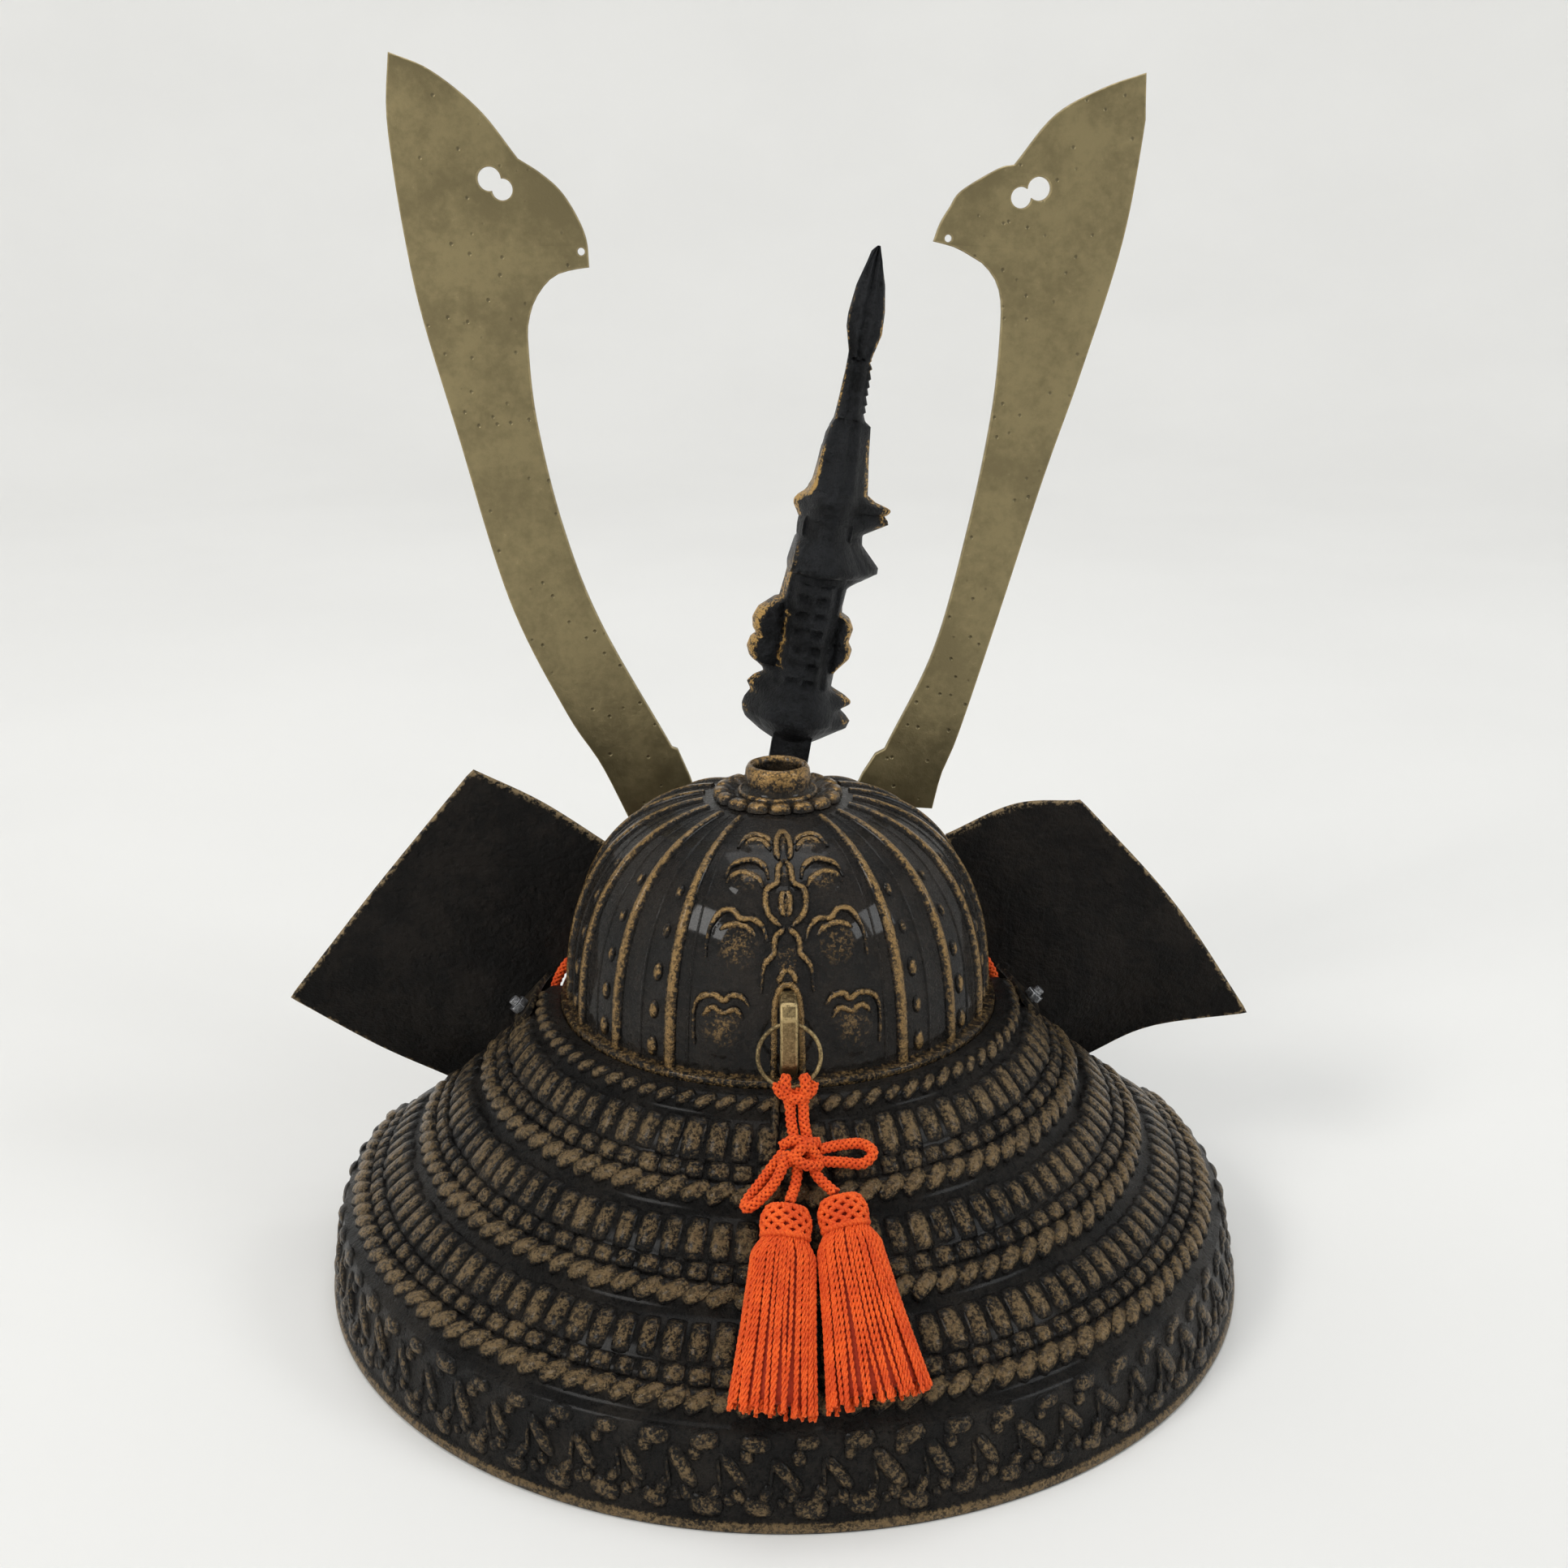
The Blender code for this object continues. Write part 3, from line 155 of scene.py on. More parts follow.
class Paint(Nodes):
    # one material: its Principled shader and the few textures that every finish here uses
    def __init__(self, name, **fixed):
        self.material = bpy.data.materials.new(name)
        self.material.use_nodes = True
        super().__init__(self.material.node_tree)
        self.shader = self.tree.nodes["Principled BSDF"]
        for socket, value in fixed.items():
            self.shader.inputs[socket.replace("_", " ")].default_value = value
        self.place = self.make("ShaderNodeTexCoord", out=3)
        finishes[name] = self.material

    def noise(self, scale, detail=4.0, rough=0.55):
        return self.make("ShaderNodeTexNoise", None, {"Vector": self.place, "Scale": scale,
                                                       "Detail": detail, "Roughness": rough})

    def cells(self, scale):
        return self.make("ShaderNodeTexVoronoi", None, {"Vector": self.place, "Scale": scale})

    def attribute(self, name):
        return self.make("ShaderNodeAttribute", {"attribute_name": name}, out=2)

    def between(self, value, low, high):
        return self.make("ShaderNodeMapRange", {"interpolation_type": "SMOOTHSTEP"},
                         {0: value, 1: low, 2: high})

    def blend(self, factor, first, second):
        ends = [value if isinstance(value, Wire) else (*value, 1) for value in (first, second)]
        return self.make("ShaderNodeMix", {"data_type": "RGBA"},
                         {0: factor, 6: ends[0], 7: ends[1]}, out=2)

    def finish(self, colour, rough=None, metallic=None, height=None, depth=0.0003):
        for socket, value in (("Base Color", colour), ("Roughness", rough),
                              ("Metallic", metallic)):
            if isinstance(value, Wire):
                self.tree.links.new(value.socket, self.shader.inputs[socket])
        if height is not None:
            bump = self.make("ShaderNodeBump", None,
                             {"Strength": 1.0, "Distance": depth, "Height": height})
            self.tree.links.new(bump.socket, self.shader.inputs["Normal"])


def newTree(name, inputs):
    # a geometry tree with named inputs and one geometry output
    tree = bpy.data.node_groups.new(name, "GeometryNodeTree")
    nodes = Nodes(tree)
    for label, kind, value in (("Geometry", "Geometry", None), *inputs):
        socket = tree.interface.new_socket(label, in_out="INPUT", socket_type="NodeSocket" + kind)
        if value is not None:
            socket.default_value = value
    tree.interface.new_socket("Geometry", in_out="OUTPUT", socket_type="NodeSocketGeometry")
    entry = tree.nodes.new("NodeGroupInput")
    return nodes, {item.name: Wire(nodes, item) for item in entry.outputs if item.name}


def closeTree(nodes, last):
    ending = nodes.tree.nodes.new("NodeGroupOutput")
    nodes.tree.links.new(last.socket, ending.inputs[0])
    return nodes.tree


def tubeTree():
    # a round tube along every edge path, as thick as the points' girth
    nodes, entry = newTree("tubeAlongPath", (("Sides", "Int", 6), ("Metal", "Material", None)))
    girth = nodes.make("GeometryNodeInputNamedAttribute", {"data_type": "FLOAT"},
                       {"Name": "girth"})
    line = nodes.make("GeometryNodeMeshToCurve", None, {"Mesh": entry["Geometry"]})
    ring = nodes.make("GeometryNodeCurvePrimitiveCircle", None,
                      {"Resolution": entry["Sides"], "Radius": 1.0})
    tube = nodes.make("GeometryNodeCurveToMesh", None,
                      {"Curve": line, "Profile Curve": ring, "Scale": girth, "Fill Caps": True})
    real = nodes.make("GeometryNodeRealizeInstances", None, {0: tube})
    return closeTree(nodes, nodes.make("GeometryNodeSetMaterial", None,
                                       {0: real, "Material": entry["Metal"]}))


def seatTree():
    # one shape on every point, turned and sized by the point, with a little unevenness
    nodes, entry = newTree("shapeOnPoints", (("Shape", "Object", None), ("Uneven", "Float", 0.08),
                                             ("Seed", "Int", 3), ("Metal", "Material", None)))
    turn = nodes.make("GeometryNodeInputNamedAttribute", {"data_type": "FLOAT_VECTOR"},
                      {"Name": "turn"})
    size = nodes.make("GeometryNodeInputNamedAttribute", {"data_type": "FLOAT_VECTOR"},
                      {"Name": "size"})
    uneven = nodes.make("FunctionNodeRandomValue", {"data_type": "FLOAT"},
                        {2: 1.0 - entry["Uneven"], 3: 1.0 + entry["Uneven"],
                         "Seed": entry["Seed"]}, out=1)
    scale = nodes.make("ShaderNodeVectorMath", {"operation": "SCALE"}, {0: size, "Scale": uneven})
    spin = nodes.make("FunctionNodeEulerToRotation", None, {0: turn})
    shape = nodes.make("GeometryNodeObjectInfo", None, {"Object": entry["Shape"]}, out=4)
    seated = nodes.make("GeometryNodeInstanceOnPoints", None,
                        {"Points": entry["Geometry"], "Instance": shape, "Rotation": spin,
                         "Scale": scale})
    real = nodes.make("GeometryNodeRealizeInstances", None, {0: seated})
    return closeTree(nodes, nodes.make("GeometryNodeSetMaterial", None,
                                       {0: real, "Material": entry["Metal"]}))


trees = {"tube": tubeTree(), "seat": seatTree()}


def evaluated(holder):
    graph = bpy.context.evaluated_depsgraph_get()
    return bpy.data.meshes.new_from_object(holder.evaluated_get(graph))


def runTree(tree, source, values):
    # the tree's result on a mesh, as plain points and faces
    holder = addObject("working", source)
    step = holder.modifiers.new("tree", "NODES")
    step.node_group = tree
    for item in tree.interface.items_tree:
        if item.in_out == "INPUT" and item.name in values:
            step[item.identifier] = values[item.name]
    made = evaluated(holder)
    points = np.empty(len(made.vertices) * 3)
    made.vertices.foreach_get("co", points)
    faces = [tuple(face.vertices) for face in made.polygons]
    bpy.data.objects.remove(holder)
    bpy.data.meshes.remove(made)
    bpy.data.meshes.remove(source)
    return points.reshape(-1, 3), faces


def tubes(paths, sides=6):
    # paths is a list of (points, girth or girths)
    source = bpy.data.meshes.new("paths")
    points, edges, girths = [], [], []
    for path, girth in paths:
        first = len(points)
        points += [tuple(p) for p in path]
        edges += [(first + k, first + k + 1) for k in range(len(path) - 1)]
        girths += list(np.broadcast_to(girth, len(path)))
    source.from_pydata(points, edges, [])
    source.attributes.new("girth", "FLOAT", "POINT").data.foreach_set("value", girths)
    return runTree(trees["tube"], source, {"Sides": sides})


def seated(shape, seats, uneven, seed):
    # seats is a list of (place, 3x3 turn, size)
    source = bpy.data.meshes.new("seats")
    source.from_pydata([tuple(place) for place, turn, size in seats], [], [])
    turns = np.array([turn.to_euler() for place, turn, size in seats]).ravel()
    sizes = np.array([size for place, turn, size in seats], float).ravel()
    source.attributes.new("turn", "FLOAT_VECTOR", "POINT").data.foreach_set("vector", turns)
    source.attributes.new("size", "FLOAT_VECTOR", "POINT").data.foreach_set("vector", sizes)
    points, faces = shape
    mesh = bpy.data.meshes.new("shape")
    mesh.from_pydata([tuple(p) for p in points], [], faces)
    holder = addObject("shape", mesh)
    made = runTree(trees["seat"], source, {"Shape": holder, "Uneven": uneven, "Seed": seed})
    bpy.data.objects.remove(holder)
    bpy.data.meshes.remove(mesh)
    return made


# mesh helpers

def loftFaces(rings, count, closed):
    faces = []
    for i in range(rings if closed else rings - 1):
        low, high = i * count, (i + 1) % rings * count
        faces += [(low + k, low + (k + 1) % count, high + (k + 1) % count, high + k)
                  for k in range(count)]
    if not closed:
        faces.append(tuple(range(count))[::-1])
        faces.append(tuple((rings - 1) * count + k for k in range(count)))
    return faces


def loft(rings, closed=False):
    points = np.array([[tuple(p) for p in ring] for ring in rings])
    return points.reshape(-1, 3), loftFaces(len(rings), len(rings[0]), closed)


def merged(parts):
    # several shells as one list of points and faces
    points, faces, first = [], [], 0
    for some, theirs in parts:
        points.append(np.asarray(some, float))
        faces += [tuple(first + k for k in face) for face in theirs]
        first += len(some)
    return np.concatenate(points), faces


def addPiece(name, shape, metal, rub=None, faceRub=None, angle=None):
    # a finished mesh with how far each point or face is rubbed bare; on cords, how far out it lies,
    # which the cord's finish turns into painted shade
    points, faces = shape
    mesh = bpy.data.meshes.new(name)
    mesh.from_pydata([tuple(p) for p in points], [], faces)
    shell = bmesh.new()
    shell.from_mesh(mesh)
    bmesh.ops.recalc_face_normals(shell, faces=shell.faces)
    shell.to_mesh(mesh)
    shell.free()
    if rub is not None:
        mesh.attributes.new("rub", "FLOAT", "POINT").data.foreach_set("value", rub)
    if faceRub is not None:
        mesh.attributes.new("rub", "FLOAT", "FACE").data.foreach_set("value", faceRub)
    mesh.shade_smooth()
    if angle:
        mesh.set_sharp_from_angle(angle=math.radians(angle))
    mesh.materials.append(finishes[metal])
    return addObject(name, mesh)


def dress(piece, slot, *nodes):
    # the piece stands for its CAD nodes: they are hidden, and the piece hangs from the root body
    if nodes:
        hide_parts(*nodes)
    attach(piece, "root")
    count = sum(len(face.vertices) - 2 for face in piece.data.polygons)
    print("made", piece.name, count, "triangles")


def plainShape(shape):
    # a bmesh as plain points and faces
    shape.verts.index_update()
    return ([tuple(v.co) for v in shape.verts],
            [tuple(v.index for v in face.verts) for face in shape.faces])


def refined(node, width, segments, angle):
    # a CAD node's own shape with its edges rounded; rounded faces count as rubbed
    shape = bmesh.new()
    shape.from_mesh(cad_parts[node].data)
    bmesh.ops.remove_doubles(shape, verts=shape.verts, dist=1e-6)
    bmesh.ops.dissolve_limit(shape, angle_limit=math.radians(0.6), verts=shape.verts,
                             edges=shape.edges)
    sharp = [edge for edge in shape.edges
             if len(edge.link_faces) == 2 and edge.calc_face_angle() > math.radians(angle)]
    made = bmesh.ops.bevel(shape, geom=sharp, offset=width, segments=segments, profile=0.5,
                           affect="EDGES", clamp_overlap=True)
    fresh = set(made["faces"])
    plain = plainShape(shape)
    rub = [1.0 if face in fresh else 0.0 for face in shape.faces]
    shape.free()
    return plain, rub


def curveSpot(a, b, c, d, t):
    # the place at share t between b and c on a smooth curve through the four
    return 0.5 * (2 * b + (c - a) * t + (2 * a - 5 * b + 4 * c - d) * t**2
                  + (3 * b - a - 3 * c + d) * t**3)


def smoothLine(points, count):
    # points evenly spaced on a smooth curve through the given ones
    knots = np.array([tuple(p) for p in points], float)
    knots = np.vstack([2 * knots[0] - knots[1], knots, 2 * knots[-1] - knots[-2]])
    dense = []
    for a, b, c, d in zip(knots, knots[1:], knots[2:], knots[3:]):
        dense += [curveSpot(a, b, c, d, t) for t in np.arange(0, 1, 1 / 24)]
    dense = np.array(dense + [knots[-2]])
    reach = np.concatenate([[0], np.cumsum(np.linalg.norm(np.diff(dense, axis=0), axis=1))])
    want = np.linspace(0, reach[-1], count)
    return np.stack([np.interp(want, reach, dense[:, k]) for k in range(dense.shape[1])], 1)


def lineLength(line):
    return float(np.linalg.norm(np.diff(line, axis=0), axis=1).sum())


def sideways(line):
    # two directions square to the line at every point, carried along without twist
    along = np.gradient(line, axis=0)
    along /= np.linalg.norm(along, axis=1)[:, None]
    start = np.cross(along[0], (0.0, 0.0, 1.0))
    if np.linalg.norm(start) < 0.2:
        start = np.cross(along[0], (1.0, 0.0, 0.0))
    out = [start / np.linalg.norm(start)]
    for step in along[1:]:
        turned = out[-1] - step * np.dot(out[-1], step)
        out.append(turned / np.linalg.norm(turned))
    out = np.array(out)
    return out, np.cross(along, out)


# places on the helmet

base = {
    "back": -0.017,  # how far the bowl's axis stands behind the middle of the outline
    "gap": 0.0003,
}
bowl = {
    "rim": 0.0903, "radius": 0.0672, "rise": 0.0690, "sidePower": 2.9, "crownPower": 2.5,
    "lipReach": 0.0034, "lipThick": 0.0030, "wall": 0.0032, "hole": 0.0072,
    "ribs": 7, "firstRib": 31.0, "ribPitch": 18.0, "ribGirth": 0.0022, "ribRise": 0.0016,
    "ribSpan": (0.035, 0.985, 46), "seamGirth": 0.00062, "seamBeside": 9.4, "seamInside": 5.0,
    "rivetSize": (0.0036, 0.0064, 0.0013), "rivetRows": (0.40, 0.53, 0.665, 0.79, 0.915),
    "rivetBeside": 4.9, "rivetTop": (2.0, 1.0, 0.6, -0.3), "scrollGirth": 0.00105,
    "scrollLift": 0.00018, "padLift": 0.0007, "padReach": 26, "archGirth": 0.0011, "archLift": 0.0003,
    "rubFrom": 0.0003, "rubOver": 0.0008, "lipRub": 0.55, "lowShare": 0.965,
    "steps": 360, "levels": 96,
}
collar = {"base": 0.0205, "inner": 0.0132, "top": 0.0096, "rise": 0.0098, "wall": 0.0022,
          "petals": 16, "petalDepth": 0.0013, "stepsPerPetal": 14}
guard = {
    "radius": 0.1500, "wall": 0.0032, "sag": 0.0030, "bandHeight": 0.0280, "flare": 0.0070,
    "lip": 0.0012, "groove": 0.0014, "tiers": 3, "tierLift": 0.0014, "ropeLift": 0.0024,
    "topRope": 0.0060, "shift": -0.0022, "topEnd": 6.0, "lowEnd": 22.0,
    "blockPitch": 0.0071, "blockWidth": 0.0066, "ropeLean": -1.0, "topPitch": 0.0062,
    "blockTop": (3.4, 0.30, 0.50, -0.5), "strandTop": (2.5, 0.6, 0.55, -0.5),
    "markTop": (2.2, 0.8, 0.7, -0.3), "seamRadius": 0.09, "seamLift": 0.0004,
    "seamGirths": (0.0015, 0.0009), "topStrand": (0.0038, 0.0076, 0.0019),
    "strand": (0.0054, 0.0102, 0.0019), "strandDown": 0.775, "bandRepeats": 41,
    "bandReach": 109, "markHeight": 0.00125, "rubFrom": 0.0007, "rubOver": 0.0015,
    "bandRubOver": 0.0014, "bandRubMost": 0.72, "rimRub": 0.95, "steps": 150,
}
lipRadius = bowl["radius"] + bowl["lipReach"]
topRadius = lipRadius + base["gap"] + guard["wall"]
topHeight = bowl["rim"] + 0.3 * bowl["lipThick"]
bandRadius = guard["radius"] - guard["flare"]
slopeRun = bandRadius - topRadius
slopeFall = topHeight - guard["bandHeight"]
slopeLength = math.hypot(slopeRun, slopeFall)
ropeShare = guard["topRope"] / slopeLength
firstTier = 1.25 * ropeShare  # where the first tier starts, as a share of the slope
tierShare = (1 - firstTier) / guard["tiers"]


def around(radius, azimuth, height):
    # azimuth in degrees, 0 at the back and positive towards +X
    turn = math.radians(azimuth)
    return Vector((radius * math.sin(turn), radius * math.cos(turn) + base["back"], height))


def onGuard(radius, azimuth, height):
    down = min(max((bowl["rim"] - height) / bowl["rim"], 0), 1)
    return around(radius, azimuth, height) + Vector((guard["shift"] * down, 0, 0))


def slopePoint(down, lift):
    # radius and height; down is a share of the slope's length
    sag = guard["sag"] * math.sin(math.pi * min(max(down, 0), 1))
    out = lift - sag
    return (topRadius + slopeRun * down + out * slopeFall / slopeLength,
            topHeight - slopeFall * down + out * slopeRun / slopeLength)


def onSlope(down, across, lift):
    # metres down and across the guard's back
    radius, height = slopePoint(down / slopeLength, lift)
    return onGuard(radius, math.degrees(across / radius), height)


def endAzimuth(height):
    down = min(max((topHeight - height) / topHeight, 0), 1)
    return 90 + guard["topEnd"] + (guard["lowEnd"] - guard["topEnd"]) * down


def domeHeight(radius):
    share = max(0.0, 1 - (radius / bowl["radius"]) ** bowl["sidePower"])
    return bowl["rim"] + bowl["rise"] * share ** (1 / bowl["crownPower"])


def domeRadius(height):
    share = min(max((height - bowl["rim"]) / bowl["rise"], 0), 1)
    return bowl["radius"] * (1 - share ** bowl["crownPower"]) ** (1 / bowl["sidePower"])


def meridianTable():
    # radius and height by the share of the way from the collar to the rim
    turns = np.linspace(0, math.pi / 2 - 0.001, 3000)
    radius = bowl["radius"] * np.cos(turns) ** (2 / bowl["sidePower"])
    radius = radius[radius > collar["base"]][::-1]
    height = np.array([domeHeight(r) for r in radius])
    reach = np.concatenate([[0], np.cumsum(np.hypot(np.diff(radius), np.diff(height)))])
    return reach / reach[-1], radius, height


domeShare, domeR, domeZ = meridianTable()


def domeSpot(share):
    return np.interp(share, domeShare, domeR), np.interp(share, domeShare, domeZ)


def onDome(azimuth, share, lift=0.0):
    # the lift is square to the dome, from its slope a short way up and down
    radius, height = domeSpot(share)
    (nearR, nearZ), (farR, farZ) = domeSpot(share - 0.004), domeSpot(share + 0.004)
    run = farR - nearR
    fall = nearZ - farZ
    size = math.hypot(run, fall)
    return around(radius + lift * fall / size, azimuth, height + lift * run / size)


def seatOn(surface, u, v, lift, spin=0.0):
    # place and turn of a shape on a surface: x to the right from outside, y up, z outwards
    place = surface(u, v, lift)
    across = surface(u - 0.2, v, lift) - surface(u + 0.2, v, lift)
    up = surface(u, v - 0.002, lift) - surface(u, v + 0.002, lift)
    out = across.cross(up).normalized()
    across = across.normalized()
    up = out.cross(across)
    turn = Matrix((across, up, out)).transposed() @ Matrix.Rotation(spin, 3, "Z")
    return place, turn


def onTier(azimuth, down, lift=0.0):
    radius, height = slopePoint(down, lift)
    return onGuard(radius, azimuth, height)


def bandOut(down):
    return bandRadius + guard["groove"] + (guard["flare"] - guard["lip"] - guard["groove"]) * down


def bandUp(down):
    return guard["bandHeight"] * (1 - down) + 3 * guard["lip"] * down


def onBand(azimuth, down, lift=0.0):
    return onGuard(bandOut(down) + lift, azimuth, bandUp(down))


# finishes

castings = {
    # colours of the hollows, the patina and the rubbed metal, then the surface and the gloss
    "guardBronze": dict(
        dark=(0.0060, 0.0054, 0.0048), mid=(0.020, 0.0165, 0.013), bare=(0.230, 0.158, 0.080),
        roughness=0.24, grain=640, wearFrom=0.46, wearTo=1.22, patches=0.60, bumpDepth=0.0016,
        Metallic=0.50, Specular_IOR_Level=0.28, Coat_Weight=0.08, Coat_Roughness=0.16),
    "bowlBronze": dict(
        dark=(0.0055, 0.0048, 0.0040), mid=(0.016, 0.0125, 0.0095), bare=(0.270, 0.168, 0.066),
        roughness=0.17, grain=560, wearFrom=0.40, wearTo=1.10, patches=0.35, bumpDepth=0.0008,
        Metallic=0.50, Specular_IOR_Level=0.22, Coat_Weight=0.22, Coat_Roughness=0.07),
    "collarBronze": dict(
        dark=(0.008, 0.0065, 0.005), mid=(0.034, 0.024, 0.014), bare=(0.300, 0.182, 0.068),
        roughness=0.18, grain=520, wearFrom=0.42, wearTo=1.08, patches=0.5, bumpDepth=0.0005,
        Metallic=0.6, Specular_IOR_Level=0.3, Coat_Weight=0.2, Coat_Roughness=0.10),
    "plateBronze": dict(
        dark=(0.0050, 0.0044, 0.0038), mid=(0.013, 0.0105, 0.0085), bare=(0.260, 0.190, 0.105),
        roughness=0.46, grain=380, wearFrom=0.55, wearTo=1.10, patches=0.3, bumpDepth=0.0009,
        Metallic=0.35, Specular_IOR_Level=0.22),
    "crestBlack": dict(
        dark=(0.0040, 0.0043, 0.0048), mid=(0.016, 0.017, 0.019), bare=(0.520, 0.320, 0.105),
        roughness=0.30, grain=520, wearFrom=0.66, wearTo=1.10, patches=0.8, bumpDepth=0.0011,
        Metallic=0.4, Specular_IOR_Level=0.25),
    "rubbedBrass": dict(
        dark=(0.060, 0.042, 0.020), mid=(0.200, 0.145, 0.066), bare=(0.450, 0.340, 0.170),
        roughness=0.28, grain=800, wearFrom=0.36, wearTo=1.14, patches=0.5, bumpDepth=0.0003,
        Metallic=0.8),
    "dullSteel": dict(
        dark=(0.060, 0.062, 0.065), mid=(0.170, 0.174, 0.180), bare=(0.440, 0.445, 0.455),
        roughness=0.32, grain=900, wearFrom=0.36, wearTo=1.14, patches=0.5, bumpDepth=0.0003,
        Metallic=0.8),
}
hornColours = {
    "low": (0.190, 0.154, 0.078), "high": (0.270, 0.220, 0.112), "stain": (0.075, 0.062, 0.036),
    "scratch": (0.42, 0.35, 0.21), "pit": (0.03, 0.026, 0.018), "edge": (0.46, 0.37, 0.20),
}
# low and high are the cord's own tones; deep is painted shade, a dark red-brown for what lies deep in a
# braid and for the tassel cores
cordColours = {"low": (0.62, 0.062, 0.008), "high": (0.86, 0.128, 0.016),
               "deep": (0.26, 0.015, 0.003)}


def castFinish(name, dark, mid, bare, roughness, grain, wearFrom, wearTo, patches, bumpDepth,
               **fixed):
    # cast metal: near-black in the hollows, mottled patina, rubbed metal on what stands proud
    paint = Paint(name, **fixed)
    rub = paint.attribute("rub")
    coarse = paint.noise(60, 4, 0.6)
    fine = paint.noise(grain, 5, 0.7)
    sparkle = paint.noise(grain * 2.2, 3, 0.7)
    speckle = paint.between(fine + (sparkle - 0.5) * 0.8, 0.36, 0.64)
    wear = paint.between(rub + (speckle - 0.5) * 0.60 + (coarse - 0.5) * patches, wearFrom, wearTo)
    patina = paint.blend(paint.between(coarse + (fine - 0.5) * 0.8, 0.36, 0.66), dark, mid)
    colour = paint.blend(wear, patina, bare)
    rough = paint.between(fine, 0.3, 0.75) * 0.20 + roughness - wear * 0.05
    height = fine + sparkle * 0.4 + paint.noise(grain * 0.35, 3, 0.5) * 0.9
    metallic = wear * 0.35 + fixed["Metallic"]
    paint.finish(colour, rough, metallic, height, bumpDepth)


def makeFinishes():
    for name, settings in castings.items():
        castFinish(name, **settings)

    # horns: olive-brown sheet brass, mottled, with short bright scratches and dark pits
    horn = Paint("hornBrass", Metallic=0.75)
    mottle = horn.noise(34, 6, 0.62)
    fleck = horn.noise(260, 5, 0.7)
    pits = horn.between(horn.cells(190), 0.16, 0.05)
    stain = horn.between(horn.noise(15, 3, 0.5), 0.60, 0.74)
    colour = horn.blend(horn.between(mottle + (fleck - 0.5) * 0.5, 0.36, 0.66),
                        hornColours["low"], hornColours["high"])
    colour = horn.blend(stain * 0.28, colour, hornColours["stain"])
    colour = horn.blend(horn.between(fleck, 0.64, 0.80) * 0.7, colour, hornColours["scratch"])
    colour = horn.blend(pits * 0.5, colour, hornColours["pit"])
    rub = horn.attribute("rub")
    colour = horn.blend(horn.between(rub + (fleck - 0.5) * 0.8, 0.5, 1.1) * 0.8, colour,
                        hornColours["edge"])
    horn.finish(colour, horn.between(mottle, 0.3, 0.7) * 0.14 + 0.34, None,
                fleck * 0.6 + mottle * 1.2 - pits * 0.8, 0.00030)

    # orange silk-like cord: fibre streaks, and painted shade where strands meet: what lies deep in the
    # braid is painted darker
    for name, grain in (("cordOrange", 1500), ("threadOrange", 2100)):
        cord = Paint(name, Roughness=0.70, Specular_IOR_Level=0.25, Sheen_Weight=0.05,
                     Sheen_Roughness=0.4)
        fibre = cord.noise(grain, 3, 0.6)
        tone = cord.noise(160, 3, 0.5)
        # on cords the rub attribute holds how far out each point lies, as a share of the cord's radius
        deep = cord.attribute("rub")
        colour = cord.blend(cord.between(fibre + (tone - 0.5) * 0.8, 0.30, 0.72),
                            cordColours["low"], cordColours["high"])
        # painted shade: from 0.97 of the radius inwards the colour darkens, fully at 0.66, towards the
        # deep colour
        colour = cord.blend(cord.between(deep, 0.97, 0.66) * 0.85, colour, cordColours["deep"])
        cord.finish(colour, None, None, fibre, 0.00012)

    floor = Paint("paleFloor", Roughness=0.85)
    cloud = floor.noise(2.5, 3, 0.5)
    floor.finish(floor.blend(floor.between(cloud, 0.3, 0.7), view["floorColour"],
                             tuple(0.97 * c for c in view["floorColour"])))
    print("finishes:", len(finishes))


makeFinishes()


def addFloor():
    # a round sheet that lies flat under the helmet and sweeps up on every side
    start, flats, rows = view["sweepStart"], view["sweepFlats"], view["sweepRows"]
    profile = [(start * (k + 1) / flats, 0.0) for k in range(flats)]
    for k in range(1, rows + 1):
        turn = 0.5 * math.pi * k / rows
        profile.append((start + view["sweepRadius"] * math.sin(turn),
                        view["sweepRadius"] * (1 - math.cos(turn))))
    profile.append((profile[-1][0], profile[-1][1] + view["sweepWall"]))
    count = view["sweepTurns"]
    turns = [math.tau * k / count for k in range(count)]
    points = [(r * math.cos(turn), r * math.sin(turn), z) for r, z in profile for turn in turns]
    faces = [tuple(range(count))]
    for row in range(len(profile) - 1):
        faces += [(row * count + k, (row + 1) * count + k, (row + 1) * count + (k + 1) % count,
                   row * count + (k + 1) % count) for k in range(count)]
    floor = addPiece("paleSweep", (points, faces), "paleFloor")
    if floor.data.polygons[0].normal.z < 0:
        floor.data.flip_normals()


addFloor()


# cords, first of the object's pieces

cord = {
    "radius": 0.00155, "strand": 0.00052, "layRadius": 0.00096, "weave": 0.00024,
    "pitch": 0.0068, "stepsPerPitch": 26, "core": 0.00085,
}
rear = {
    "lugTop": 0.1200, "lugBottom": 0.0962, "standOff": 0.0062,
    "ringRadius": 0.0091, "ringWire": 0.00065, "ringTilt": 18.0,
}
leftCord = (
    # down the slope, across, lift
    (0.0048, 0.0000, 0.0052), (0.0095, 0.0000, 0.0049), (0.0145, -0.0006, 0.0049),
    (0.0205, -0.0012, 0.0052), (0.0265, -0.0006, 0.0050), (0.0308, 0.0008, 0.0058),
    (0.0334, 0.0018, 0.0070),
)
rightCord = (
    (0.0048, -0.0036, 0.0052), (0.0095, -0.0037, 0.0049), (0.0145, -0.0043, 0.0049),
    (0.0205, -0.0049, 0.0052), (0.0255, -0.0066, 0.0050), (0.0292, -0.0096, 0.0058),
    (0.0315, -0.0115, 0.0070),
)
